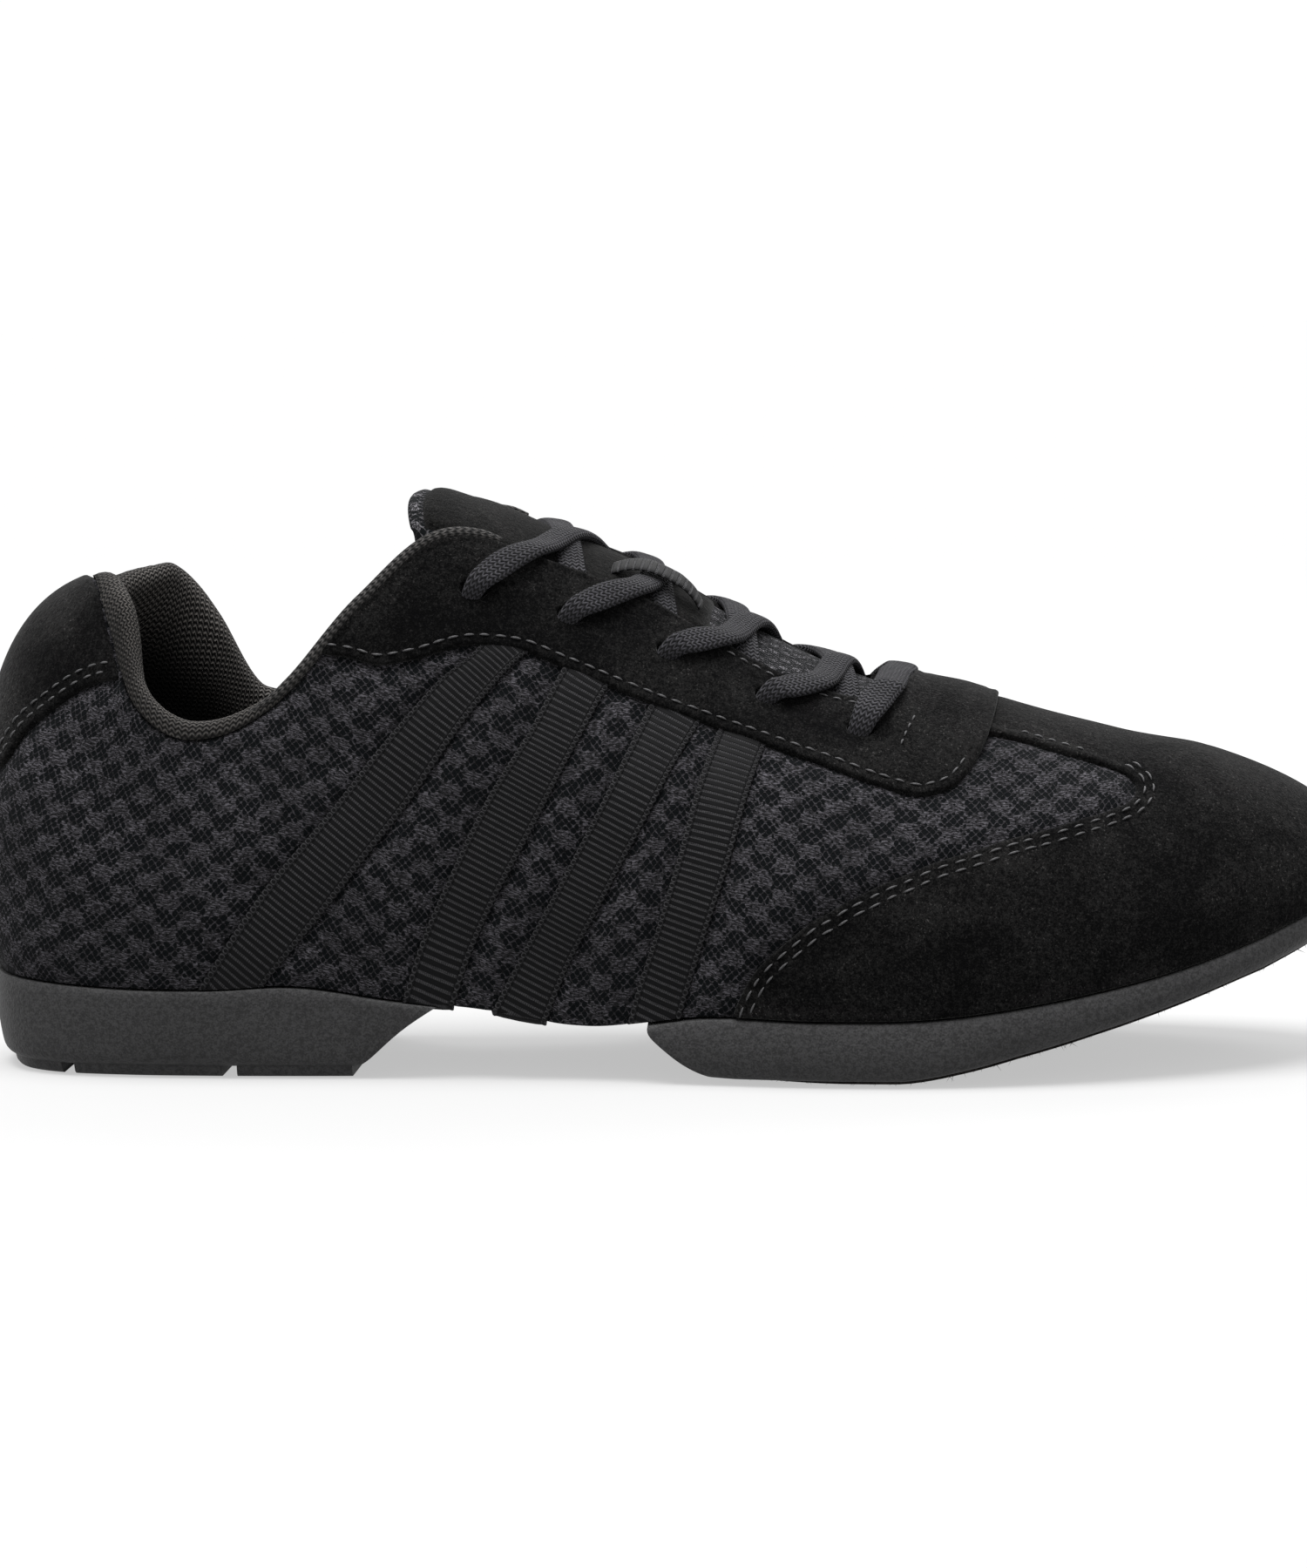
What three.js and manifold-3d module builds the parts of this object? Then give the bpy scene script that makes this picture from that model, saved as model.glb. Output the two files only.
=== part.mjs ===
// Dance sneaker, right shoe, split sole. Millimetres, +Z up, toe towards +X,
// outer (lateral) side towards -Y. The shoe stands on z = 0.
import * as THREE from 'three';
import Module from 'manifold-3d';

const wasm = await Module();
wasm.setup();
const { Manifold, Mesh } = wasm;

// ---------------------------------------------------------------- sizes
const X_MID = 133.3;        // heel back to the middle of the shoe's length
const Y_MID = -0.65;        // lateral offset of the middle of its width
const GAP = 0.35;           // clearance between pieces that meet
const WALL = 2.0;           // upper: mesh, foam and lining
const PAD = 3.6;            // extra thickness of the rolled collar
const MARGIN = 12.0;        // lasting margin turned in under the foot
const OVERLAY = 1.15;       // suede overlays stand this proud
const INSOLE = 3.0;         // insole thickness
const TONGUE = 3.0;         // padded tongue thickness
const THROAT_END = 181.5;   // front of the lacing throat, from the heel back
const THROAT_R = 9.5;       // its rounded front
const RIDGE_SLOPE = 0.22;   // fall of the vamp ridge towards the toe
const CROWN = 70;           // length along a rib that one unit of v stands for past its top
const LACE_W = 7.0;         // flat lace width
const LACE_T = 1.7;         // flat lace thickness
const PAD_T = 1.3;          // suede outsole pad under the forefoot

// ---------------------------------------------------------------- the last
// One row per rib, heel centre-back (0) to toe tip (17). L lateral, M medial.
//  xb, yb, zb  foot of the rib on the feather edge
//  xt, g, zt   top of the rib: half gap of collar or throat, and height
//  yr          sideways place of the ridge
//  la, hb      lean (deg) and reach of the rib where it leaves the feather edge
//  ta, ht      steepness (deg) and reach of the rib where it meets its top
const COLS = ['xb', 'zbL', 'zbM', 'yr', 'xtL', 'ybL', 'gL', 'ztL', 'laL', 'hbL', 'taL', 'htL', 'xtM', 'ybM', 'gM', 'ztM', 'laM', 'hbM', 'taM', 'htM'];
const LAST = [
  // xb   zbL   zbM   yr   xtL    ybL    gL    ztL  laL hbL taL htL   xtM   ybM   gM    ztM   laM hbM taM htM
  [1.2, 19.5, 19.5, 0.0, 22.5, 0.0, 0.0, 94.5, 6.4, 37, 14, 24, 22.5, 0.0, 0.0, 94.5, 6.4, 37, 14, 24],
  [5.5, 19.0, 19.0, 0.0, 25.0, -16.5, 12.5, 95.5, 9, 36, 45, 23, 25.5, 16.5, 12.5, 95.5, 9, 36, 45, 23],
  [15.0, 18.3, 18.3, 0.0, 29.0, -25.0, 22.0, 90.0, 10, 30, 80, 20, 32.0, 25.0, 22.0, 93.0, 10, 30, 80, 20],
  [30.0, 17.5, 17.5, 0.0, 34.0, -29.0, 26.5, 74.0, 10, 26, 88, 16, 42.0, 29.0, 25.0, 83.0, 10, 26, 88, 18],
  [46.0, 17.4, 17.4, 0.0, 45.5, -30.5, 27.5, 67.0, 9, 24, 88, 14, 51.5, 29.0, 26.5, 69.5, 9, 24, 88, 16],
  [64.0, 18.0, 18.0, 0.0, 61.0, -31.0, 27.0, 73.5, 8, 26, 84, 16, 64.0, 27.5, 26.0, 74.0, 8, 26, 84, 18],
  [82.0, 15.4, 17.5, 0.0, 77.0, -31.0, 24.5, 91.0, 6, 32, 72, 22, 79.0, 25.5, 24.5, 91.0, 10, 32, 72, 22],
  [100.0, 13.5, 17.0, 0.0, 93.0, -32.0, 19.0, 103.0, 4, 38, 60, 28, 95.0, 24.5, 20.0, 105.0, 14, 36, 60, 28],
  [120.0, 10.6, 14.5, 0.0, 114.0, -34.0, 15.5, 97.0, 4, 38, 50, 28, 115.0, 26.5, 16.5, 100.0, 14, 36, 50, 28],
  [142.0, 13.0, 13.5, 0.0, 138.0, -38.5, 12.5, 87.0, 6, 32, 42, 26, 138.0, 31.5, 14.0, 90.5, 12, 32, 42, 26],
  [164.0, 12.7, 12.7, 0.5, 160.0, -42.5, 10.5, 76.5, 8, 27, 30, 26, 160.0, 37.5, 12.0, 79.5, 10, 28, 32, 26],
  [186.0, 13.2, 13.2, 0.8, 183.0, -43.3, 9.0, 71.3, 10, 23, 23, 21, 183.0, 41.5, 9.0, 71.3, 10, 24, 23, 21],
  [208.0, 16.0, 16.5, 1.2, 205.0, -40.0, 5.0, 65.6, 12, 21, 12, 22, 205.0, 41.8, 5.0, 65.6, 12, 21, 12, 22],
  [228.0, 20.0, 20.5, 2.0, 221.0, -33.5, 0.0, 62.3, 14, 18, 0, 21, 221.0, 38.5, 0.0, 62.3, 14, 18, 0, 21],
  [244.0, 24.7, 25.0, 3.0, 230.0, -25.0, 0.0, 60.2, 16, 15, 0, 19, 230.0, 33.0, 0.0, 60.2, 16, 15, 0, 19],
  [256.5, 29.6, 29.8, 3.5, 232.5, -15.5, 0.0, 59.6, 18, 13, 0, 18, 232.5, 26.0, 0.0, 59.6, 18, 13, 0, 18],
  [263.6, 32.8, 32.8, 3.5, 232.5, -4.5, 0.0, 59.6, 22, 12, 0, 18, 232.5, 17.0, 0.0, 59.6, 22, 12, 0, 18],
  [266.0, 34.0, 34.0, 3.5, 232.5, 6.5, 0.0, 59.6, 24, 12, 0, 18, 232.5, 6.5, 0.0, 59.6, 24, 12, 0, 18],
];
const U_END = LAST.length - 1;
const COLLAR_FRONT = 8;      // ribs past this one belong to the throat or vamp
const L = -1, M = 1;

// underside of the forefoot: x from the heel back, lowest face of the pad, rubber edge
const SPRING = [
  // x    pad   edge
  [128, 8.0, 9.0],
  [138, 1.4, 3.6],
  [148, 0.0, 2.4],
  [158, 0.0, 1.9],
  [170, 0.0, 1.9],
  [180, 0.0, 2.4],
  [190, 1.6, 4.0],
  [202, 4.6, 6.9],
  [216, 8.4, 10.6],
  [232, 13.2, 15.2],
  [248, 18.6, 20.2],
  [260, 23.4, 24.6],
  [268, 27.0, 28.0],
];

const LOWEST = 0;            // the pad never dips under the floor

// ---------------------------------------------------------------- helpers
const clamp = (a, lo, hi) => Math.min(Math.max(a, lo), hi);
const lerp = (a, b, f) => a + (b - a) * f;
const smooth = (a, b, x) => { const f = clamp((x - a) / (b - a), 0, 1); return f * f * (3 - 2 * f); };
const rad = Math.PI / 180;

// smooth curve through a column of a table, with the value before the first
// row and after the last one given
function through(a, u, before, after) {
  const n = a.length;
  u = clamp(u, 0, n - 1);
  const i = Math.min(Math.floor(u), n - 2), f = u - i;
  const p1 = a[i], p2 = a[i + 1];
  const p0 = i > 0 ? a[i - 1] : (before ?? 2 * p1 - p2);
  const p3 = i + 2 < n ? a[i + 2] : (after ?? 2 * p2 - p1);
  const m1 = (p2 - p0) / 2, m2 = (p3 - p1) / 2, f2 = f * f, f3 = f2 * f;
  return (2 * f3 - 3 * f2 + 1) * p1 + (f3 - 2 * f2 + f) * m1 + (3 * f2 - 2 * f3) * p2 + (f3 - f2) * m2;
}
const column = Object.fromEntries(COLS.map((c, i) => [c, LAST.map(r => r[i])]));
function at(name, u, side) {
  if (name === 'xb' || name === 'yr') {
    const a = column[name];
    return through(a, u, a[1], a[a.length - 2]);
  }
  const a = column[name + (side < 0 ? 'L' : 'M')], b = column[name + (side < 0 ? 'M' : 'L')];
  return through(a, u, name === 'g' ? -b[1] : b[1], b[b.length - 2]);
}
// a short table [x, a, b, ...] read at x
function table(rows, x, k) {
  const n = rows.length;
  let i = 0;
  while (i < n - 2 && x > rows[i + 1][0]) i++;
  const u = i + clamp((x - rows[i][0]) / (rows[i + 1][0] - rows[i][0]), 0, 1);
  return through(rows.map(r => r[k]), u);
}

// ---------------------------------------------------------------- the last's surface
const foot = (u, side) => [at('xb', u, side), at('yb', u, side), at('zb', u, side)];
function outward(u, side) {
  const e = 0.02;
  if (u < e) return [-1, 0];
  if (u > U_END - e) return [1, 0];
  const a = foot(u - e, side), b = foot(u + e, side);
  const nx = (b[1] - a[1]) * -side, ny = (b[0] - a[0]) * side, l = Math.hypot(nx, ny);
  return [nx / l, ny / l];
}
function crest(u, side) {
  const xt = Math.min(at('xt', u, side), 232.5), g = Math.max(at('g', u, side), 0);
  const ta = at('ta', u, side) * rad, zt = at('zt', u, side), yr = at('yr', u, side);
  return { p: [xt, yr + side * g, zt], ta, g };
}
function rib(u, side) {
  const B = foot(u, side), n = outward(u, side), { p: P, ta } = crest(u, side);
  const la = at('la', u, side) * rad, hb = at('hb', u, side), ht = at('ht', u, side);
  const Q1 = [B[0] + hb * Math.sin(la) * n[0], B[1] + hb * Math.sin(la) * n[1], B[2] + hb * Math.cos(la)];
  let mx = n[0] * 8 + B[0] - P[0], my = n[1] * 8 + B[1] - P[1], l = Math.hypot(mx, my);
  mx /= l; my /= l;
  const w = u < 7.5 ? 0 : u < 12 ? 1 : clamp((15 - u) / 3, 0, 1);
  mx *= 1 - w; my = my * (1 - w) + side * w; l = Math.hypot(mx, my);
  mx /= l; my /= l;
  const sl = u > 10 ? RIDGE_SLOPE : 0;
  const Q2 = [P[0] + ht * Math.cos(ta) * mx, P[1] + ht * Math.cos(ta) * my,
    P[2] - ht * (Math.sin(ta) + sl * mx * Math.cos(ta))];
  return [B, Q1, Q2, P];
}
function bez(r, v) {
  const a = (1 - v) ** 3, b = 3 * (1 - v) ** 2 * v, c = 3 * (1 - v) * v * v, d = v ** 3;
  return [0, 1, 2].map(i => a * r[0][i] + b * r[1][i] + c * r[2][i] + d * r[3][i]);
}
// height of the ridge that both sides share
function ridge(u) {
  const one = s => { const { p, ta, g } = crest(u, s); return p[2] + 0.5 * Math.tan(Math.min(ta, 1.2)) * g; };
  return (one(L) + one(M)) / 2;
}
// v 0 to 1 runs up the rib; past 1 it follows the crown towards the ridge
function skin(u, v, side) {
  if (v <= 1) return bez(rib(u, side), v);
  const { p, g } = crest(u, side), yr = at('yr', u, side), y = Math.max(g - (v - 1) * CROWN, 0), zr = ridge(u);
  return [p[0], yr + side * y, zr - (zr - p[2]) * (g > 0.01 ? (y / g) ** 2 : 0)];
}
// top edge of the upper on this rib: collar, throat edge, or the ridge itself
function vTop(u, side) {
  if (u <= COLLAR_FRONT) return 1;
  const { p: [xt], g } = crest(u, side);
  let ge = g;
  if (xt >= THROAT_END) ge = 0;
  else if (xt > THROAT_END - THROAT_R) {
    ge = Math.min(g, THROAT_R * Math.sqrt(1 - ((xt - THROAT_END + THROAT_R) / THROAT_R) ** 2));
  }
  return 1 + (g - ge) / CROWN;
}
const sub = (a, b) => [a[0] - b[0], a[1] - b[1], a[2] - b[2]];
const cross = (a, b) => [a[1] * b[2] - a[2] * b[1], a[2] * b[0] - a[0] * b[2], a[0] * b[1] - a[1] * b[0]];
const unit = a => { const l = Math.hypot(...a) || 1; return a.map(c => c / l); };
const along = (p, d, k) => [p[0] + d[0] * k, p[1] + d[1] * k, p[2] + d[2] * k];
const mid = (a, b, f = 0.5) => [lerp(a[0], b[0], f), lerp(a[1], b[1], f), lerp(a[2], b[2], f)];
// outward normal of the skin; on the ridge both sides are averaged
function normal(u, v, side) {
  const e = 0.01, ve = 0.004;
  const oneSide = (s, w) => {
    const vv = Math.min(w, vTop(u, s) - ve);
    const du = sub(skin(Math.min(u + e, U_END), w, s), skin(Math.max(u - e, 0), w, s));
    const dv = sub(skin(u, vv + ve, s), skin(u, Math.max(vv - ve, 0), s));
    return unit(cross(du, dv).map(c => c * -s));
  };
  const both = (l, m) => {
    const a = oneSide(L, l), b = oneSide(M, m);
    return unit([a[0] + b[0], a[1] + b[1], a[2] + b[2]]);
  };
  if (u > COLLAR_FRONT && v > vTop(u, side) - 0.002 && at('xt', u, side) >= THROAT_END - 1e-6) {
    if (u > 12.95) return unit([RIDGE_SLOPE, 0, 1]);
    return both(vTop(u, L), vTop(u, M));
  }
  if (u < e || u > U_END - e) return both(v, v);   // heel and toe centre lines lie in one plane
  return oneSide(side, v);
}
const offset = (u, v, side, d) => along(skin(u, v, side), normal(u, v, side), d);
// level of the feather line at a place under the foot
function floorZ(x, y) {
  let lo = 0, hi = U_END;
  for (let i = 0; i < 30; i++) { const m = (lo + hi) / 2; if (at('xb', m, L) < x) lo = m; else hi = m; }
  const a = foot(lo, L), b = foot(lo, M), w = b[1] - a[1];
  return lerp(a[2], b[2], w > 1 ? clamp((y - a[1]) / w, 0, 1) : 0.5);
}
const uAtX = x => {
  let lo = 0, hi = U_END;
  for (let i = 0; i < 30; i++) { const m = (lo + hi) / 2; if (at('xb', m, L) < x) lo = m; else hi = m; }
  return lo;
};

// ---------------------------------------------------------------- solids from grids
class Faces {
  constructor() { this.p = []; this.t = []; this.map = new Map(); }
  v(p) {
    const k = p.map(c => Math.round(c * 1e4 + 0.137)).join();
    let i = this.map.get(k);
    if (i === undefined) { i = this.p.length; this.map.set(k, i); this.p.push(p); }
    return i;
  }
  tri(a, b, c) {
    const i = this.v(a), j = this.v(b), k = this.v(c);
    if (i !== j && j !== k && k !== i) this.t.push([i, j, k]);
  }
  quad(a, b, c, d) { this.tri(a, b, c); this.tri(a, c, d); }
  manifold() {
    const m = new Manifold(new Mesh({
      numProp: 3, vertProperties: new Float32Array(this.p.flat()), triVerts: new Uint32Array(this.t.flat()),
    }));
    return m;
  }
}
// closed ring or open run of sections, each a closed loop of equally many points;
// flip turns the diagonal of a strip, so that inner and outer faces match
function loft(sections, { closed = false, skip = () => false, flip = () => false } = {}) {
  const f = new Faces(), n = sections.length, k = sections[0].length;
  for (let i = 0; i < (closed ? n : n - 1); i++) {
    const a = sections[i], b = sections[(i + 1) % n];
    for (let j = 0; j < k; j++) {
      if (skip(i, j)) continue;
      const q = (j + 1) % k;
      if (flip(j)) f.quad(b[j], b[q], a[q], a[j]);
      else f.quad(a[j], b[j], b[q], a[q]);
    }
  }
  if (!closed) {
    cap(f, sections[0], false);
    cap(f, sections[n - 1], true);
  }
  return f;
}
// caps a section whose points run down one side and back up the other
function cap(f, s, far) {
  const k = s.length;
  for (let j = 0; j < Math.floor(k / 2); j++) {
    const a = s[j], b = s[j + 1], c = s[k - 2 - j], d = s[k - 1 - j];
    if (far) f.quad(d, c, b, a); else f.quad(a, b, c, d);
  }
}
function solid(f) {
  let m = f.manifold();
  if (m.volume() < 0) { f.t = f.t.map(t => [t[0], t[2], t[1]]); m = f.manifold(); }
  return m;
}
function geometry(m) {
  const g = m.getMesh(), out = new THREE.BufferGeometry();
  out.setAttribute('position', new THREE.BufferAttribute(new Float32Array(g.vertProperties), 3));
  out.setIndex(new THREE.BufferAttribute(new Uint32Array(g.triVerts), 1));
  out.computeVertexNormals();
  return out;
}

// drops slivers that a cut leaves beside the piece
function whole(m) {
  return m.decompose().reduce((a, b) => (b.volume() > a.volume() ? b : a));
}

const shoe = new THREE.Group();
shoe.position.set(-X_MID, -Y_MID, 0);
const material = (color, roughness) => new THREE.MeshStandardMaterial({ color, roughness, metalness: 0 });
const MESH = material(0x3a393b, 0.85), SUEDE = material(0x1c1b1b, 0.95), RUBBER = material(0x383839, 0.7);
const LINING = material(0x46423e, 0.9), LACE = material(0x4a494d, 0.85), TAPE = material(0x2f2f31, 0.7);
function add(name, m, mat, tol = 0) {
  const s = tol ? whole(m.simplify(tol)) : m;
  const mesh = new THREE.Mesh(geometry(s), mat);
  mesh.name = name;
  shoe.add(mesh);
  return s;
}

// ---------------------------------------------------------------- upper
// ribs kept: close together round the heel and toe
// the first rib that reaches the ridge
const RIDGE_U = (() => { let a = 10, b = 11.5; for (let i = 0; i < 40; i++) { const m = (a + b) / 2; if (at('xt', m, L) < THROAT_END) a = m; else b = m; } return b; })();
const RIBS = [0, 0.35, 0.7, 1.05, 1.4, 1.75, 2.15, 2.6, 3.05, 3.5, 4, 4.5, 5, 5.5, 5.95, 6.35, 6.7, 7.0, 7.4, 7.75, 8.0, 8.3, 8.55, 8.8,
  9.1, 9.5, 9.9, 10.2, 10.45, 10.65, 10.8, RIDGE_U, 11.4, 11.9, 12.4, 12.9, 13.4, 13.85, 14.3, 14.7, 15.05, 15.45, 15.85, 16.25, 16.65, 17];
const VS = [0, 0.1, 0.23, 0.37, 0.51, 0.64, 0.76, 0.865, 0.945, 1];
const ARCH = [87, 133];      // closed under the arch between the two soles
const onRidge = u => at('xt', u, L) >= THROAT_END - 1e-6 && u > COLLAR_FRONT;
const inArch = u => { const x = at('xb', u, L); return x > ARCH[0] && x < ARCH[1]; };
const wall = (u, v) => WALL + PAD * (1 - smooth(4.4, 6.2, u)) * smooth(0.6, 0.93, v);

const columns = [];
RIBS.forEach(u => columns.push({ u, side: L }));
RIBS.slice(1, -1).reverse().forEach(u => columns.push({ u, side: M }));

function upperSection({ u, side }) {
  const k = vTop(u, side), loop = VS.map(v => skin(u, v * k, side));
  const inner = VS.map(v => offset(u, v * k, side, -wall(u, v)));
  const B = loop[0], n = outward(u, side);
  inner[0] = [B[0] - n[0] * WALL, B[1] - n[1] * WALL, B[2] + WALL];
  inner[0][2] = floorZ(inner[0][0], inner[0][1]) + WALL;
  // the first ribs inside stay above the margin
  inner[1][2] = Math.max(inner[1][2], inner[0][2] + 1.5);
  const o = loop[loop.length - 1], i = inner[inner.length - 1];
  const up = u < 7.2 ? 0.32 : 0.12;
  const roll = [(o[0] + i[0]) / 2, (o[1] + i[1]) / 2, (o[2] + i[2]) / 2 + wall(u, 1) * up];
  let edge;
  if (inArch(u)) {
    const a = foot(u, L), b = foot(u, M);
    edge = [(a[0] + b[0]) / 2, (a[1] + b[1]) / 2, 0];
  } else {
    edge = [B[0] - n[0] * MARGIN, B[1] - n[1] * MARGIN, 0];
  }
  edge[2] = floorZ(edge[0], edge[1]);
  return [...loop, roll, ...inner.reverse(), [edge[0], edge[1], edge[2] + WALL], edge];
}
const NV = VS.length;
const upperFaces = loft(columns.map(upperSection), {
  closed: true,
  flip: j => j > NV,
  skip: (i, j) => {
    const a = columns[i].u, b = columns[(i + 1) % columns.length].u;
    if ((j === NV - 1 || j === NV) && onRidge(a) && onRidge(b)) return true;
    return j === 2 * NV + 1 && inArch(a) && inArch(b);
  },
});
const upper = add('upper', solid(upperFaces), MESH);

// ---------------------------------------------------------------- suede overlays
// a closed shell all round the upper, from one offset to another
function shell(d0, d1, v0 = 0, v1 = 1) {
  const vs = VS.filter(v => v >= v0 && v <= v1);
  const sec = columns.map(({ u, side }) => [
    ...vs.map(v => offset(u, v * vTop(u, side), side, d1)),
    ...vs.map(v => offset(u, v * vTop(u, side), side, d0)).reverse(),
  ]);
  const k = vs.length;
  return solid(loft(sec, {
    closed: true,
    flip: j => j >= k,
    skip: (i, j) => j === k - 1 && onRidge(columns[i].u) && onRidge(columns[(i + 1) % columns.length].u),
  }));
}
// a block over the patch lo(u)..hi(u) of one side, well through the shell
function block(side, us, lo, hi, d0 = -1.2, d1 = 3.2, vn = 6) {
  const f = new Faces();
  const grid = d => us.map(u => Array.from({ length: vn + 1 }, (_, j) => {
    const v = lerp(lo(u), hi(u) ?? vTop(u, side), j / vn), k = vTop(u, side);
    // past the top edge the block runs on along the rib
    if (v <= k) return offset(u, v, side, d);
    const p = skin(u, k, side), q = skin(u, k - 0.03, side), t = unit(sub(p, q));
    return along(along(p, t, (v - k) * 40), normal(u, k, side), d);
  }));
  const a = grid(d0), b = grid(d1), n = us.length - 1;
  for (let i = 0; i < n; i++) for (let j = 0; j < vn; j++) {
    f.quad(b[i][j], b[i + 1][j], b[i + 1][j + 1], b[i][j + 1]);
    f.quad(a[i][j], a[i][j + 1], a[i + 1][j + 1], a[i + 1][j]);
  }
  for (let i = 0; i < n; i++) {
    f.quad(a[i][0], a[i + 1][0], b[i + 1][0], b[i][0]);
    f.quad(a[i + 1][vn], a[i][vn], b[i][vn], b[i + 1][vn]);
  }
  for (let j = 0; j < vn; j++) {
    f.quad(a[0][j + 1], a[0][j], b[0][j], b[0][j + 1]);
    f.quad(a[n][j], a[n][j + 1], b[n][j + 1], b[n][j]);
  }
  return solid(f);
}
const span = (a, b, n) => Array.from({ length: n + 1 }, (_, i) => lerp(a, b, i / n));

// edges of the overlays on the last: rib, place on the rib
const EYESTAY_EDGE = [
  // u     v
  [5.55, 0.965],
  [6.1, 0.805],
  [6.75, 0.728],
  [7.3, 0.732],
  [7.9, 0.738],
  [8.4, 0.712],
  [8.9, 0.69],
  [9.5, 0.688],
  [10.1, 0.672],
  [10.6, 0.62],
  [10.95, 0.592],
  [11.2, 0.628],
  [11.4, 0.70],
  [11.52, 0.79],
  [11.58, 0.90],
];
const WING_EDGE = [
  // u     v
  [9.25, 0.0],
  [9.47, 0.085],
  [9.67, 0.152],
  [9.99, 0.226],
  [10.37, 0.293],
  [10.81, 0.343],
  [11.25, 0.384],
  [11.69, 0.428],
  [12.16, 0.482],
  [12.6, 0.531],
  [12.9, 0.595],
];
const COUNTER_EDGE = [
  // u     v
  [0.0, 0.34],
  [0.5, 0.375],
  [0.84, 0.44],
  [1.1, 0.555],
  [1.4, 0.65],
  [1.82, 0.742],
  [2.15, 0.815],
  [2.4, 0.875],
];
const WINDOW_TOP = 0.79;
const WING_FOOT = 0.02;      // the wings stop just above the sole

const suede = shell(GAP, GAP + OVERLAY, 0, 1);
const bothSides = make => make(L).add(make(M));

// heel tab: high centre-back, cut down along the collar roll
const counterTop = u => lerp(0.985, 0.90, smooth(0.9, 2.4, u));
const counter = bothSides(s => block(s, span(-0.001, 2.3, 10).map(u => Math.max(u, 0)),
  u => table(COUNTER_EDGE, u, 1), counterTop)).intersect(suede);
add('heel_counter', counter, SUEDE, 0.03);

// eyestay: one U-shaped piece round the throat, joined in front of it
const eyestayUs = [5.62, 5.85, 6.1, 6.4, 6.75, 7.2, 7.7, 8.3, 8.9, 9.5, 10.1, 10.45, 10.7, RIDGE_U, 11.1, 11.22, 11.34, 11.44, 11.52, 11.58];
const eyestayLow = u => table(EYESTAY_EDGE, u, 1);
const eyestay = bothSides(s => block(s, eyestayUs, eyestayLow, u => (u < RIDGE_U - 1e-6 ? vTop(u, s) + 0.02 : undefined), -1.2, 3.2, 5)).intersect(suede);
add('eyestay', eyestay, SUEDE, 0.03);

// toe overlay: cap, side wings and the strip up the middle of the vamp
const wingUs = [9.26, 9.47, 9.67, 9.99, 10.37, 10.81, 11.25, 11.69, 12.16, 12.6, 12.85, 12.98];
const wing = s => block(s, wingUs, () => WING_FOOT, u => Math.max(table(WING_EDGE, Math.min(u, 12.9), 1), 0.035), -1.2, 3.2, 5);
const cap17 = s => block(s, [12.979, 13.4, 13.85, 14.3, 14.7, 15.05, 15.45, 15.85, 16.25, 16.65, 17], () => WING_FOOT, () => undefined, -1.2, 3.2, 8);
const strip = s => block(s, [11.66, 11.9, 12.16, 12.45, 12.75, 12.98], u => lerp(WINDOW_TOP, 0.735, smooth(12.3, 12.98, u)), () => undefined, -1.2, 3.2, 3);
const toe = bothSides(s => wing(s).add(cap17(s)).add(strip(s))).intersect(suede);
add('toe_overlay', toe, SUEDE, 0.06);

// ---------------------------------------------------------------- soles
// one station of a sole: points from the lateral top edge down, along the
// underside and up to the medial top edge
function station(levels, uAt, zBottom) {
  const one = (side, [f, out]) => {
    const u = uAt(f), B = foot(u, side), n = outward(u, side);
    const x = B[0] + n[0] * out, y = B[1] + n[1] * out;
    const zt = floorZ(x, y) - GAP - 0.1 - 0.2 * smooth(120, 126, x) * (1 - smooth(136, 144, x)), zb = zBottom(x);
    return [x, y, lerp(zb, zt, f)];
  };
  return [...levels.map(l => one(L, l)), ...levels.map(l => one(M, l)).reverse()];
}
const HEEL_LEVELS = [
  // height share, outward of the feather edge
  [1, 0.7], [0.86, 1.3], [0.45, 0.7], [0.12, -0.2], [0, -1.8],
];
const HEEL_FLOOR = 2.2;      // the lugs stand this high
const BREAST = [75, 91];     // front wall of the heel: bottom and top
const heelSections = [];
const uT = uAtX(BREAST[1]), uB = uAtX(BREAST[0]);
const HEEL_ST = [0, 0.05, 0.11, 0.18, 0.26, 0.36, 0.48, 0.6, 0.72, 0.84, 0.93, 1];
for (const s of HEEL_ST) heelSections.push(station(HEEL_LEVELS, f => s * lerp(uB, uT, f ** 0.75), () => HEEL_FLOOR));
let heel = solid(loft(heelSections));
// lugs: rear, middle and front pads with open grooves between them
const LUGS = [
  // x from, x to
  [0.5, 15.5],
  [18.5, 47.5],
  [54.5, 74.0],
];
for (const [x0, x1] of LUGS) {
  const u0 = x0 < 1.5 ? 0 : uAtX(x0), u1 = uAtX(x1);
  const sec = span(0, 1, 5).map(s => {
    const u = lerp(u0, u1, u0 === 0 ? s * s * 0.6 + s * 0.4 : s);
    const pt = (side, out, z) => { const B = foot(u, side), n = outward(u, side); return [B[0] + n[0] * out, B[1] + n[1] * out, z]; };
    return [pt(L, -2.2, HEEL_FLOOR + 0.6), pt(L, -3.2, 0), pt(M, -3.2, 0), pt(M, -2.2, HEEL_FLOOR + 0.6)];
  });
  heel = heel.add(solid(loft(sec)));
}
add('heel_unit', heel, RUBBER, 0.01);

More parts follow.
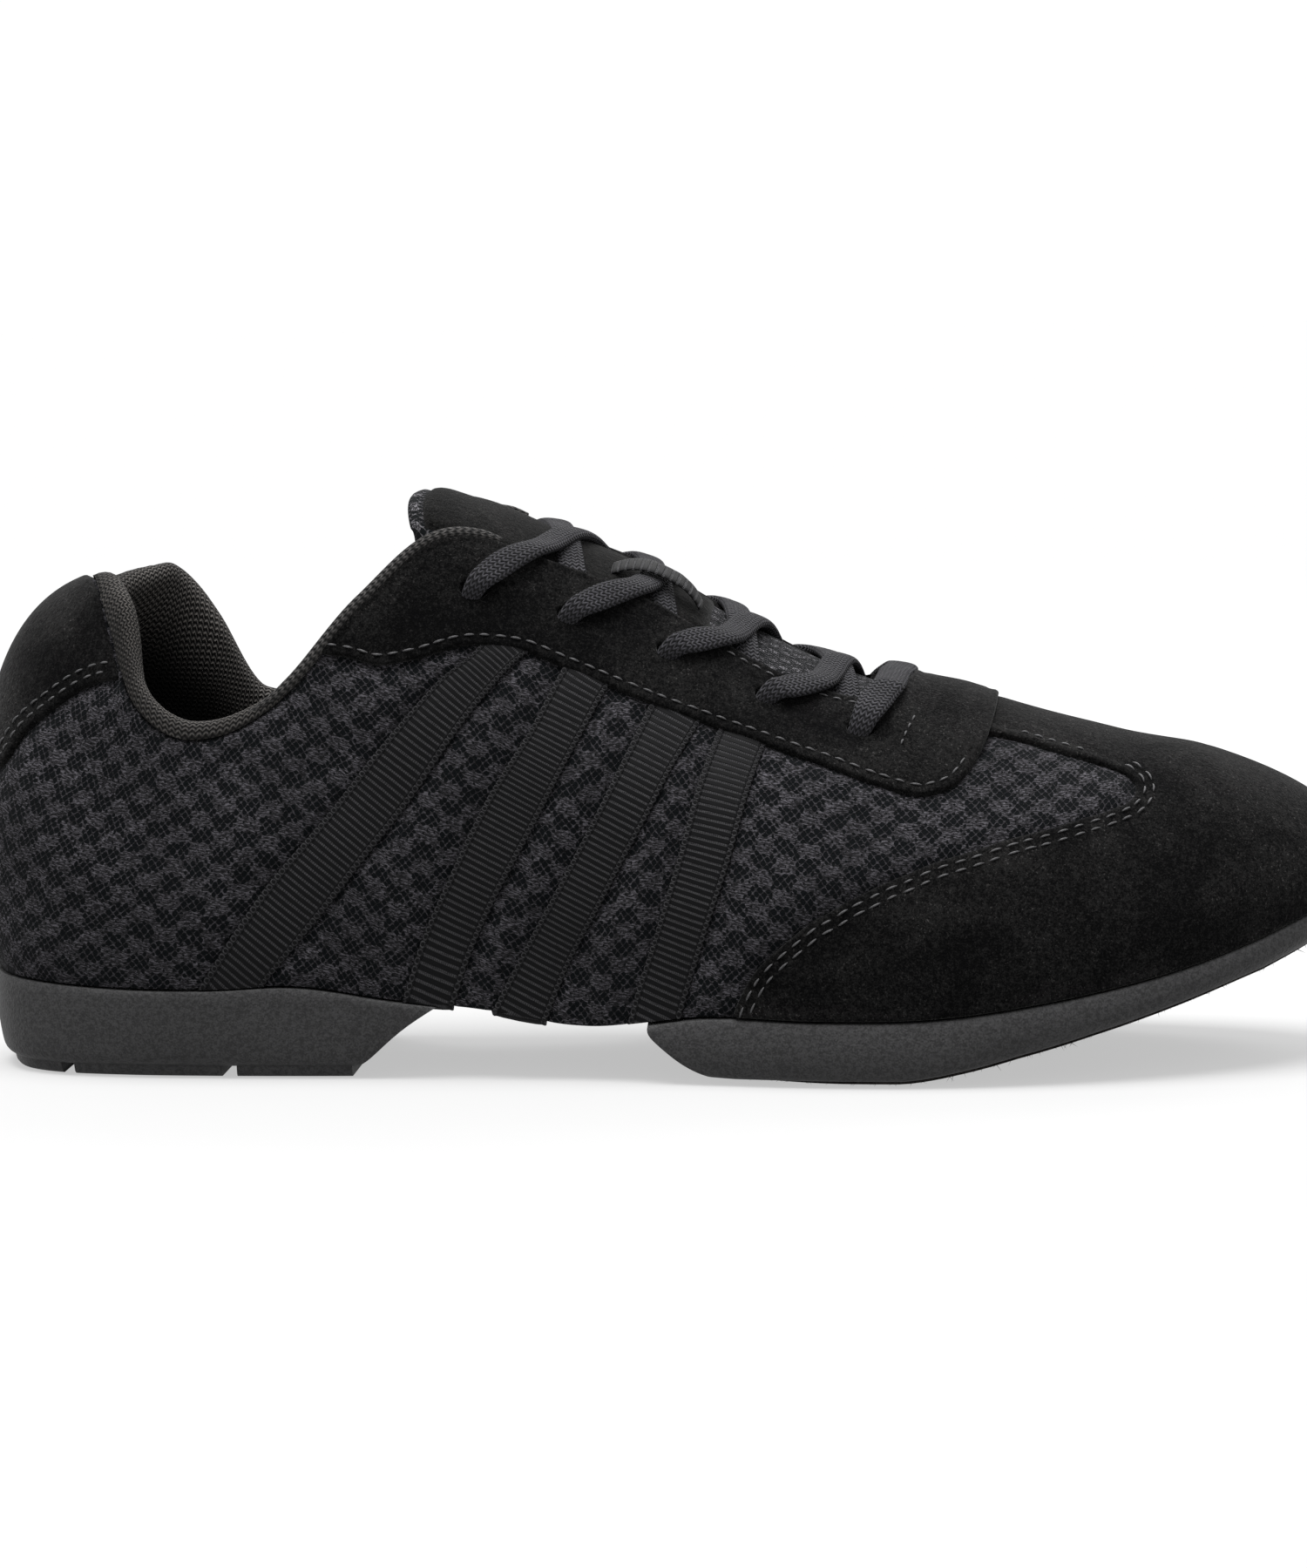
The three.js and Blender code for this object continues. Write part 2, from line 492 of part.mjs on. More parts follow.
const under = x => Math.max(table(SPRING, x, 1), LOWEST);
const FORE_LEVELS = [
  [1, 0.8], [0.8, 1.6], [0.45, 1.5], [0.16, 0.2], [0.03, -2.2], [0, -5.0],
];
const FORE_REAR = [140, 128.6];
const fB = uAtX(FORE_REAR[0]), fT = uAtX(FORE_REAR[1]);
const foreSections = span(0, 1, 22).map(s => station(FORE_LEVELS,
  f => lerp(lerp(fB, fT, 1 - (1 - f) ** 1.6), U_END, 1 - (1 - s) ** 1.12),
  x => under(x) + PAD_T + GAP));
add('forefoot_unit', solid(loft(foreSections)), RUBBER);

// suede pad glued under the forefoot: flat on the floor from 148 to 180
const PAD_REAR = 141;
const padSections = span(0, 1, 18).map(s => {
  const u = lerp(uAtX(PAD_REAR), 16.85, 1 - (1 - s) ** 1.1), end = Math.min(1, Math.sin(Math.PI * clamp(s * 3.2, 0, 0.5)) * 0.25 + 0.75);
  const pt = (side, dz) => {
    const B = foot(u, side), n = outward(u, side), c = foot(u, -side);
    const p = mid([B[0] - n[0] * 5.4, B[1] - n[1] * 5.4, 0], [c[0], c[1], 0], (1 - end) / 2);
    return [p[0], p[1], under(p[0]) + dz];
  };
  return [pt(L, PAD_T), pt(L, 0), pt(M, 0), pt(M, PAD_T)];
});
add('outsole_pad', solid(loft(padSections)), SUEDE);

// ---------------------------------------------------------------- insole
const insoleSections = span(0, 1, 30).map(s => {
  const u = 0.12 + (U_END - 0.24) * s;
  const pt = (side, inset, dz) => {
    const B = foot(u, side), n = outward(u, side);
    const x = B[0] - n[0] * inset, y = B[1] - n[1] * inset;
    return [x, y, floorZ(x, y) + WALL + GAP + 0.35 + dz];
  };
  return [pt(L, 3.1, INSOLE), pt(L, 3.6, 0), pt(M, 3.6, 0), pt(M, 3.1, INSOLE)];
});
add('insole', solid(loft(insoleSections)), LINING);

// ---------------------------------------------------------------- tongue
// the last's own section under the throat, set inside the upper and arched
// across the gap between the two eyestay edges
const TONGUE_EDGE = [
  // u     v of the tongue's side edge
  [7.0, 0.89],
  [8.0, 0.83],
  [9.0, 0.78],
  [10.0, 0.76],
  [11.0, 0.80],
  [11.9, 0.86],
];
function tongueLine(u, d) {
  const v0 = table(TONGUE_EDGE, u, 1), pts = [];
  for (const v of span(v0, 1, 3)) pts.push(offset(u, v, L, -d));
  const a = pts[pts.length - 1], b = offset(u, 1, M, -d);
  const w = Math.hypot(...sub(a, b));
  if (w > 1) {
    const ra = rib(u, L), rb = rib(u, M);
    // the arch is flatter than the last would be
    const low = t => unit([t[0], t[1], t[2] * 0.42]);
    const ta = low(unit(sub(ra[3], ra[2]))), tb = low(unit(sub(rb[3], rb[2]))), h = w * 0.36;
    const r = [a, along(a, ta, h), along(b, tb, h), b];
    for (const f of [0.2, 0.4, 0.6, 0.8]) pts.push(bez(r, f));
  } else for (const f of [0.2, 0.4, 0.6, 0.8]) pts.push(mid(a, b, f));
  for (const v of span(1, v0, 3)) pts.push(offset(u, v, M, -d));
  return pts;
}
const TONGUE_TOP = { u: 7.15, dir: [-0.94, 0, 0.34], run: [9, 4.5] };
const deep = WALL + GAP + 0.4;
function tongueSection(u, shift = 0) {
  const top = tongueLine(u, deep), low = tongueLine(u, deep + TONGUE);
  return [...top, ...low.reverse()].map(p => along([p[0], p[1] * (1 - 0.014 * shift), p[2]], TONGUE_TOP.dir, shift));
}
const tongueSections = [
  ...TONGUE_TOP.run.map(k => tongueSection(TONGUE_TOP.u, k)),
  ...[7.15, 7.6, 8.1, 8.6, 9.1, 9.6, 10.1, 10.5, 10.8, 11.1, 11.5, 11.9].map(u => tongueSection(u)),
];
const tongue = add('tongue', solid(loft(tongueSections)), MESH);

// ---------------------------------------------------------------- laces
// a flat band along a path of points, lying with its width along `wide`
function band(path, wide, w = LACE_W, t = LACE_T) {
  const sec = path.map((p, i) => {
    const d = unit(sub(path[Math.min(i + 1, path.length - 1)], path[Math.max(i - 1, 0)]));
    const across = unit(sub(wide, along([0, 0, 0], d, wide[0] * d[0] + wide[1] * d[1] + wide[2] * d[2])));
    let nrm = unit(cross(d, across));
    if (nrm[2] < 0) nrm = nrm.map(c => -c);
    const at2 = (a, b) => along(along(p, across, a * w), nrm, b * t);
    return [at2(-0.42, 0.5), at2(-0.5, 0), at2(-0.42, -0.5), at2(0.42, -0.5), at2(0.5, 0), at2(0.42, 0.5)];
  });
  return solid(loft(sec));
}
// eyelets: rib and place on the rib, lateral and medial alike
const EYELETS = [
  [7.21, 0.862],
  [8.1, 0.868],
  [8.88, 0.858],
  [9.72, 0.838],
  [10.5, 0.79],
];
const LIFT = GAP * 2 + OVERLAY + LACE_T / 2 + 0.55;   // lace centre line over the upper
// from an eyelet over the throat edge to the far edge of the throat ahead
function run(i, j, side, hump) {
  const [u0, v0] = EYELETS[i], [u1, v1] = EYELETS[j];
  const a = span(v0 + 0.01, 1, 2).map(v => offset(lerp(u0, u1, 0.40 * (v - v0) / (1 - v0)), v, side, LIFT));
  const ue = lerp(u0, u1, i === 3 ? 0.62 : 0.84);
  const b = offset(ue, 1, -side, LIFT * 0.6);
  const s = a[a.length - 1], before = a[a.length - 2];
  const t0 = unit(sub(s, before)), t1 = unit([0.25, side * -1, -0.55]);
  const w = Math.hypot(...sub(b, s)), r = [s, along(s, t0, w * 0.4), along(b, t1, -w * 0.35), b];
  const c = [0.22, 0.42, 0.6, 0.78].map(f => { const p = bez(r, f); p[2] += hump * Math.sin(Math.PI * f); return p; });
  const e = bez(r, 0.93);
  return [...a, ...c, e];
}
// the lace lies flat on the eyestay, its width along the throat
const lie = (i, side) => { const [u, v] = EYELETS[i]; return unit(sub(skin(u + 0.15, v, side), skin(u - 0.15, v, side))); };
for (let i = 0; i < 4; i++) {
  const near = band(run(i, i + 1, L, 1.4), lie(i, L));
  const far = band(run(i, i + 1, M, 0.0), lie(i, M));
  add(`lace_cross_${i + 1}`, near.add(far), LACE, 0.01);
}
// straight bar at the toe end of the throat
{
  const [u, v0] = EYELETS[4];
  const a = span(v0 + 0.01, 1, 3).map(v => offset(u, v, L, LIFT));
  const b = span(1, v0 + 0.01, 3).map(v => offset(u, v, M, LIFT));
  const s = a[a.length - 1], e = b[0];
  const m = [0.25, 0.5, 0.75].map(f => { const p = mid(s, e, f); p[2] += 2.2 * Math.sin(Math.PI * f); return p; });
  add('lace_bar_5', band([...a, ...m, ...b], unit(mid(lie(4, L), lie(4, M)))), LACE, 0.01);
}

export default shoe;
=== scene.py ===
import bpy
import math
import numpy as np
from mathutils import Matrix, Vector


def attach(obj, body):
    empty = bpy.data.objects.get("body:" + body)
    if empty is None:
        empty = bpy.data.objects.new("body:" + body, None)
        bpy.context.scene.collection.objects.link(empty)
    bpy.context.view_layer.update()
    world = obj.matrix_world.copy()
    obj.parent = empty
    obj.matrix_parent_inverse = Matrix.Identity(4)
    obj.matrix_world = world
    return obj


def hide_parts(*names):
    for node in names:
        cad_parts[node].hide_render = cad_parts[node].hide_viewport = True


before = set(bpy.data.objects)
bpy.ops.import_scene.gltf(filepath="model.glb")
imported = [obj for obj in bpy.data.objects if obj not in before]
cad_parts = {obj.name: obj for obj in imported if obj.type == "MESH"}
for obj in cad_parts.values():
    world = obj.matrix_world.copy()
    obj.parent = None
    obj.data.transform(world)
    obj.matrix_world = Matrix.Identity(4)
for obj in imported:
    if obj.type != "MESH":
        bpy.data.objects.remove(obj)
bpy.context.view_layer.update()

# ------------------------------------------------------------------ sizes, mm
X_MID, Y_MID = 133.3, -0.65
GAP, WALL, PAD, MARGIN, OVERLAY = 0.35, 2.0, 3.6, 12.0, 1.15
TONGUE, INSOLE, THROAT_END, THROAT_R = 3.0, 3.0, 181.5, 9.5
RIDGE_SLOPE, CROWN, LACE_W, LACE_T, PAD_T = 0.22, 70.0, 7.0, 1.7, 1.3
COLLAR_FRONT = 8
L, M = -1, 1

COLS = "xb zbL zbM yr xtL ybL gL ztL laL hbL taL htL xtM ybM gM ztM laM hbM taM htM".split()
LAST = np.array([
    [1.2, 19.5, 19.5, 0, 22.5, 0, 0, 94.5, 6.4, 37, 14, 24, 22.5, 0, 0, 94.5, 6.4, 37, 14, 24],
    [5.5, 19, 19, 0, 25, -16.5, 12.5, 95.5, 9, 36, 45, 23, 25.5, 16.5, 12.5, 95.5, 9, 36, 45, 23],
    [15, 18.3, 18.3, 0, 29, -25, 22, 90, 10, 30, 80, 20, 32, 25, 22, 93, 10, 30, 80, 20],
    [30, 17.5, 17.5, 0, 34, -29, 26.5, 74, 10, 26, 88, 16, 42, 29, 25, 83, 10, 26, 88, 18],
    [46, 17.4, 17.4, 0, 45.5, -30.5, 27.5, 67, 9, 24, 88, 14, 51.5, 29, 26.5, 69.5, 9, 24, 88, 16],
    [64, 18, 18, 0, 61, -31, 27, 73.5, 8, 26, 84, 16, 64, 27.5, 26, 74, 8, 26, 84, 18],
    [82, 15.4, 17.5, 0, 77, -31, 24.5, 91, 6, 32, 72, 22, 79, 25.5, 24.5, 91, 10, 32, 72, 22],
    [100, 13.5, 17, 0, 93, -32, 19, 103, 4, 38, 60, 28, 95, 24.5, 20, 105, 14, 36, 60, 28],
    [120, 10.6, 14.5, 0, 114, -34, 15.5, 97, 4, 38, 50, 28, 115, 26.5, 16.5, 100, 14, 36, 50, 28],
    [142, 13, 13.5, 0, 138, -38.5, 12.5, 87, 6, 32, 42, 26, 138, 31.5, 14, 90.5, 12, 32, 42, 26],
    [164, 12.7, 12.7, .5, 160, -42.5, 10.5, 76.5, 8, 27, 30, 26, 160, 37.5, 12, 79.5, 10, 28, 32, 26],
    [186, 13.2, 13.2, .8, 183, -43.3, 9, 71.3, 10, 23, 23, 21, 183, 41.5, 9, 71.3, 10, 24, 23, 21],
    [208, 16, 16.5, 1.2, 205, -40, 5, 65.6, 12, 21, 12, 22, 205, 41.8, 5, 65.6, 12, 21, 12, 22],
    [228, 20, 20.5, 2, 221, -33.5, 0, 62.3, 14, 18, 0, 21, 221, 38.5, 0, 62.3, 14, 18, 0, 21],
    [244, 24.7, 25, 3, 230, -25, 0, 60.2, 16, 15, 0, 19, 230, 33, 0, 60.2, 16, 15, 0, 19],
    [256.5, 29.6, 29.8, 3.5, 232.5, -15.5, 0, 59.6, 18, 13, 0, 18, 232.5, 26, 0, 59.6, 18, 13, 0, 18],
    [263.6, 32.8, 32.8, 3.5, 232.5, -4.5, 0, 59.6, 22, 12, 0, 18, 232.5, 17, 0, 59.6, 22, 12, 0, 18],
    [266, 34, 34, 3.5, 232.5, 6.5, 0, 59.6, 24, 12, 0, 18, 232.5, 6.5, 0, 59.6, 24, 12, 0, 18],
], float)
U_END = len(LAST) - 1
COLUMN = {c: LAST[:, i] for i, c in enumerate(COLS)}
SPRING = np.array([
    [128, 8.0, 9.0], [138, 1.4, 3.6], [148, 0, 2.4], [158, 0, 1.9], [170, 0, 1.9], [180, 0, 2.4], [190, 1.6, 4.0],
    [202, 4.6, 6.9], [216, 8.4, 10.6], [232, 13.2, 15.2], [248, 18.6, 20.2], [260, 23.4, 24.6], [268, 27.0, 28.0]])


# ------------------------------------------------------------------ the last's surface
def arr(*xs):
    return np.broadcast_arrays(*[np.asarray(x, float) for x in xs])


def smooth(a, b, x):
    f = np.clip((np.asarray(x, float) - a) / (b - a), 0, 1)
    return f * f * (3 - 2 * f)


def through(a, u, before=None, after=None):
    n = len(a)
    u = np.clip(u, 0, n - 1)
    i = np.minimum(np.floor(u).astype(int), n - 2)
    f = u - i
    p1, p2 = a[i], a[i + 1]
    p0 = np.where(i > 0, a[np.maximum(i - 1, 0)], 2 * p1 - p2 if before is None else before)
    p3 = np.where(i + 2 < n, a[np.minimum(i + 2, n - 1)], 2 * p2 - p1 if after is None else after)
    m1, m2, f2, f3 = (p2 - p0) / 2, (p3 - p1) / 2, f * f, f ** 3
    return (2 * f3 - 3 * f2 + 1) * p1 + (f3 - 2 * f2 + f) * m1 + (3 * f2 - 2 * f3) * p2 + (f3 - f2) * m2


def at(name, u, side):
    if name in ("xb", "yr"):
        a = COLUMN[name]
        return through(a, u, a[1], a[-2])
    a, b = COLUMN[name + ("L" if side < 0 else "M")], COLUMN[name + ("M" if side < 0 else "L")]
    return through(a, u, -b[1] if name == "g" else b[1], b[-2])


def table(rows, x, k=1):
    rows = np.asarray(rows, float)
    u = np.interp(x, rows[:, 0], np.arange(len(rows)))
    return through(rows[:, k], u)


def foot(u, side):
    return np.stack([at("xb", u, side), at("yb", u, side), at("zb", u, side)], -1)


def outward(u, side):
    e = 0.02
    a, b = foot(u - e, side), foot(u + e, side)
    n = np.stack([(b[..., 1] - a[..., 1]) * -side, (b[..., 0] - a[..., 0]) * side], -1)
    n /= np.maximum(np.linalg.norm(n, axis=-1, keepdims=True), 1e-9)
    n = np.where((u < e)[..., None], np.array([-1.0, 0.0]), n)
    return np.where((u > U_END - e)[..., None], np.array([1.0, 0.0]), n)


def crest(u, side):
    xt = np.minimum(at("xt", u, side), 232.5)
    g = np.maximum(at("g", u, side), 0)
    p = np.stack([xt, at("yr", u, side) + side * g, at("zt", u, side)], -1)
    return p, np.radians(at("ta", u, side)), g


def rib(u, side):
    B, n = foot(u, side), outward(u, side)
    P, ta, _ = crest(u, side)
    la, hb, ht = np.radians(at("la", u, side)), at("hb", u, side), at("ht", u, side)
    Q1 = B + np.stack([hb * np.sin(la) * n[..., 0], hb * np.sin(la) * n[..., 1], hb * np.cos(la)], -1)
    m = n * 8 + (B - P)[..., :2]
    m /= np.linalg.norm(m, axis=-1, keepdims=True)
    w = np.where(u < 12, smooth(6.9, 8.1, u), np.clip((15 - u) / 3, 0, 1))[..., None]
    m = m * (1 - w) + np.array([0.0, side]) * w
    m /= np.linalg.norm(m, axis=-1, keepdims=True)
    sl = np.where(u > 10, RIDGE_SLOPE, 0.0)
    Q2 = P + ht[..., None] * np.stack([np.cos(ta) * m[..., 0], np.cos(ta) * m[..., 1],
                                       -(np.sin(ta) + sl * m[..., 0] * np.cos(ta))], -1)
    return B, Q1, Q2, P


def ridge(u):
    out = 0
    for s in (L, M):
        p, ta, g = crest(u, s)
        out = out + (p[..., 2] + 0.5 * np.tan(np.minimum(ta, 1.2)) * g) / 2
    return out


def skin(u, v, side):
    u, v = arr(u, v)
    B, Q1, Q2, P = rib(u, side)
    t = np.minimum(v, 1)[..., None]
    low = (1 - t) ** 3 * B + 3 * (1 - t) ** 2 * t * Q1 + 3 * (1 - t) * t * t * Q2 + t ** 3 * P
    p, _, g = crest(u, side)
    y = np.maximum(g - (v - 1) * CROWN, 0)
    zr = ridge(u)
    k = np.where(g > 0.01, (y / np.maximum(g, 0.01)) ** 2, 0)
    high = np.stack([p[..., 0], at("yr", u, side) + side * y, zr - (zr - p[..., 2]) * k], -1)
    return np.where((v <= 1)[..., None], low, high)


def v_top(u, side):
    p, _, g = crest(u, side)
    xt = p[..., 0]
    a = np.sqrt(np.clip(1 - ((xt - THROAT_END + THROAT_R) / THROAT_R) ** 2, 0, 1))
    ge = np.where(xt >= THROAT_END, 0, np.where(xt > THROAT_END - THROAT_R, np.minimum(g, THROAT_R * a), g))
    cut = np.interp(u, [8.4, 8.8, 9.24, 9.65, 10.14, 10.45, 10.65, 10.82, 10.92], [0, .01, .042, .055, .078, .092, .082, .045, 0])
    return np.where(u <= COLLAR_FRONT, 1.0, 1 + (g - ge) / CROWN - cut)


def unit(a):
    return a / np.maximum(np.linalg.norm(a, axis=-1, keepdims=True), 1e-12)


def one_side(u, w, s):
    e, ve = 0.01, 0.004
    vv = np.minimum(w, v_top(u, s) - ve)
    du = skin(np.minimum(u + e, U_END), w, s) - skin(np.maximum(u - e, 0), w, s)
    dv = skin(u, vv + ve, s) - skin(u, np.maximum(vv - ve, 0), s)
    return unit(np.cross(du, dv) * -s)


def normal(u, v, side):
    u, v = arr(u, v)
    n = one_side(u, v, side)
    other = one_side(u, v, -side)
    ends = (u < 0.01) | (u > U_END - 0.01)
    n = np.where(ends[..., None], unit(n + other), n)
    top = (u > COLLAR_FRONT) & (v > v_top(u, side) - 0.002) & (at("xt", u, side) >= THROAT_END - 1e-6)
    both = unit(one_side(u, v_top(u, L), L) + one_side(u, v_top(u, M), M))
    both = np.where((u > 12.95)[..., None], unit(np.array([RIDGE_SLOPE, 0, 1.0])), both)
    return np.where(top[..., None], both, n)


def offset(u, v, side, d):
    u, v, d = arr(u, v, d)
    return skin(u, v, side) + normal(u, v, side) * d[..., None]


def u_at_x(x):
    us = np.linspace(0, U_END, 3401)
    return np.interp(x, at("xb", us, L), us)


def floor_z(x, y):
    u = u_at_x(x)
    a, b = foot(u, L), foot(u, M)
    w = b[..., 1] - a[..., 1]
    f = np.where(w > 1, np.clip((y - a[..., 1]) / np.maximum(w, 1), 0, 1), 0.5)
    return a[..., 2] * (1 - f) + b[..., 2] * f


def wall(u, v):
    return WALL + PAD * (1 - smooth(4.4, 6.2, u)) * smooth(0.6, 0.93, v)


RIDGE_U = float(np.interp(THROAT_END, at("xt", np.linspace(10, 11.5, 2001), L), np.linspace(10, 11.5, 2001)))

# edges read off on the last: rib, place on the rib
EYESTAY_EDGE = [(5.50, 1.0), (5.57, .960), (5.8, .882), (6.08, .800), (6.4, .753), (6.75, .729), (7.28, .732), (7.69, .743), (8.06, .730), (8.41, .712),
                (8.82, .695), (9.25, .688), (9.71, .688), (10.15, .668), (10.58, .622), (10.92, .594), (11.12, .608),
                (11.28, .640), (11.41, .702), (11.50, .770), (11.57, .85), (11.61, .93), (11.63, 1.02), (11.63, 1.2)]
WING_EDGE = [(9.22, -.03), (9.28, .004), (9.35, .045), (9.47, .097), (9.58, .132), (9.71, .167), (9.87, .208), (10.01, .243), (10.15, .268),
             (10.29, .297), (10.47, .327), (10.63, .353), (10.79, .374), (10.94, .396), (11.10, .416), (11.27, .433), (11.43, .450),
             (11.61, .470), (11.79, .487), (11.97, .500), (12.18, .517), (12.37, .532), (12.59, .547), (12.82, .571), (12.94, .600),
             (12.99, .632), (12.97, .664), (12.86, .698), (12.67, .729), (12.47, .760), (12.25, .790), (12.04, .816), (11.85, .835),
             (11.67, .842), (11.50, .842)]
COUNTER_EDGE = [(-.3, .395), (0, .395), (.45, .402), (.85, .418), (1.0, .442), (1.10, .477), (1.24, .545), (1.49, .628), (1.75, .708), (2.11, .790), (2.36, .850)]
COLLAR_BAND = [(0, .985), (.6, .985), (1.1, .982), (1.44, .973), (1.7, .95), (1.96, .922), (2.35, .893), (2.59, .906), (3.02, .924), (3.49, .932),
               (4.04, .958), (4.40, .960), (4.74, .967), (4.96, .972), (5.3, .985), (5.6, 1.0)]
EYELETS = [(7.21, .862), (8.1, .868), (8.88, .858), (9.72, .838), (10.5, .79)]
RIBBONS = [  # left edge, right edge
    ([(7.45, .80), (7.10, .707), (6.63, .652), (5.86, .552), (4.88, .345), (4.02, .035), (3.92, 0)],
     [(7.95, .80), (7.62, .720), (7.22, .615), (6.58, .469), (5.72, .297), (4.80, .045), (4.66, 0)]),
    ([(8.15, .80), (8.02, .730), (7.65, .560), (7.12, .390), (6.72, .252), (6.37, .128), (6.12, .0)],
     [(8.58, .80), (8.41, .719), (8.11, .560), (7.66, .372), (7.20, .210), (6.90, .098), (6.69, .0)]),
    ([(8.85, .78), (8.71, .695), (8.49, .553), (8.20, .404), (7.84, .263), (7.41, .114), (7.08, .0)],
     [(9.27, .78), (9.13, .687), (8.89, .553), (8.63, .409), (8.25, .244), (7.87, .108), (7.62, .0)]),
    ([(9.38, .77), (9.27, .680), (9.09, .529), (8.88, .341), (8.64, .170), (8.43, .048), (8.36, 0)],
     [(9.80, .77), (9.69, .682), (9.53, .538), (9.33, .351), (9.09, .177), (8.88, .035), (8.83, 0)]),
]


# ------------------------------------------------------------------ meshes
def place(P):
    """to the shared frame in metres; the inner side of the collar is a little fuller over its shoulder"""
    P = np.array(P, float)
    x, y, z = P[..., 0], P[..., 1], P[..., 2]
    m = smooth(-2, 7, y) * smooth(72, 88, z)
    P[..., 2] = z + m * (2.7 * np.exp(-((x - 37) / 6.5) ** 2) - 1.5 * np.exp(-((x - 23) / 7) ** 2))
    return (P - np.array([X_MID, Y_MID, 0.0])) * 0.001


def make(name, P, F, mats, uv=None, face_mat=None, slot=None, sharp=None, replaces=(), attrs=None, weld=None):
    me = bpy.data.meshes.new(name)
    me.from_pydata(place(P).tolist(), [], [tuple(int(i) for i in f) for f in F])
    for m in mats:
        me.materials.append(m)
    if uv is not None:
        lay = me.uv_layers.new(name="cloth")
        idx = np.zeros(len(me.loops), np.int32)
        me.loops.foreach_get("vertex_index", idx)
        lay.data.foreach_set("uv", np.asarray(uv, np.float32)[idx].ravel())
    for k, vals in (attrs or {}).items():
        at_ = me.attributes.new(k, "FLOAT", "POINT")
        at_.data.foreach_set("value", np.asarray(vals, np.float32).ravel())
    if face_mat is not None:
        me.polygons.foreach_set("material_index", np.asarray(face_mat, np.int32))
    me.polygons.foreach_set("use_smooth", np.ones(len(me.polygons), bool))
    ob = bpy.data.objects.new(name, me)
    bpy.context.scene.collection.objects.link(ob)
    if weld:
        import bmesh
        bm = bmesh.new()
        bm.from_mesh(me)
        bmesh.ops.remove_doubles(bm, verts=bm.verts, dist=weld)
        bm.to_mesh(me)
        bm.free()
    me.update()
    if sharp:
        me.set_sharp_from_angle(angle=math.radians(sharp))
    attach(ob, "root")
    if replaces:
        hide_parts(*replaces)
    return ob


def grid_faces(nu, nv, wrap=False, base=0, flip=False):
    i = np.arange(nu if wrap else nu - 1)
    j = np.arange(nv - 1)
    I, J = np.meshgrid(i, j, indexing="ij")
    a, b = I * nv + J, ((I + 1) % nu) * nv + J
    f = np.stack([a, b, b + 1, a + 1], -1).reshape(-1, 4) + base
    return f[:, ::-1] if flip else f


class Build:
    """Collects grids and loose faces into one mesh."""

    def __init__(self):
        self.P, self.F, self.UV, self.MI, self.n = [], [], [], [], 0

    def grid(self, P, uv=None, wrap=False, flip=False, mi=0):
        nu, nv = P.shape[:2]
        f = grid_faces(nu, nv, wrap, self.n, flip)
        self.add(P.reshape(-1, 3), f - self.n, None if uv is None else uv.reshape(-1, 2), mi)

    def add(self, P, F, uv=None, mi=0):
        self.F += [tuple(int(i) + self.n for i in f) for f in F]
        self.MI += [mi] * len(F)
        self.P.append(np.asarray(P, float))
        self.UV.append(np.zeros((len(P), 2)) if uv is None else np.asarray(uv, float))
        self.n += len(P)

    def done(self, name, mats, **kw):
        return make(name, np.concatenate(self.P), self.F, mats, uv=np.concatenate(self.UV), face_mat=self.MI, **kw)


def spline(pts, n):
    """n points, evenly spaced, on a smooth curve through pts."""
    pts = np.asarray(pts, float)
    k = np.linspace(0, len(pts) - 1, max(len(pts) * 12, n * 2))
    c = np.stack([through(pts[:, i], k) for i in range(pts.shape[1])], -1)
    d = np.r_[0, np.cumsum(np.linalg.norm(np.diff(c, axis=0), axis=1))]
    s = np.linspace(0, d[-1], n)
    return np.stack([np.interp(s, d, c[:, i]) for i in range(pts.shape[1])], -1)


def length(P):
    return float(np.linalg.norm(np.diff(P, axis=0), axis=1).sum())


def resample(P, n, extra=()):
    d = np.r_[0, np.cumsum(np.linalg.norm(np.diff(P, axis=0), axis=1))]
    s = np.linspace(0, d[-1], n)
    return [np.stack([np.interp(s, d, A[:, i]) for i in range(A.shape[1])], -1) for A in (P, *extra)]


def seg_dist(P, line):
    """distance of points from a polyline in space"""
    P = np.asarray(P, float).reshape(-1, 3)
    a, b = line[:-1], line[1:]
    ab = b - a
    ll = np.maximum((ab ** 2).sum(1), 1e-12)
    out = np.full(len(P), 1e9)
    for i in range(0, len(P), 4000):
        q = P[i:i + 4000]
        t = np.clip(((q[:, None] - a) * ab).sum(-1) / ll, 0, 1)
        out[i:i + 4000] = np.sqrt((((a + ab * t[..., None]) - q[:, None]) ** 2).sum(-1)).min(1)
    return out


def in_poly(u, v, poly):
    poly = np.asarray(poly, float)
    x1, y1 = poly[:, 0], poly[:, 1]
    x2, y2 = np.roll(x1, -1), np.roll(y1, -1)
    inside = np.zeros(len(u), bool)
    for a, b, c, d in zip(x1, y1, x2, y2):
        if b == d:
            continue
        hit = ((b > v) != (d > v)) & (u < (c - a) * (v - b) / (d - b) + a)
        inside ^= hit
    return inside


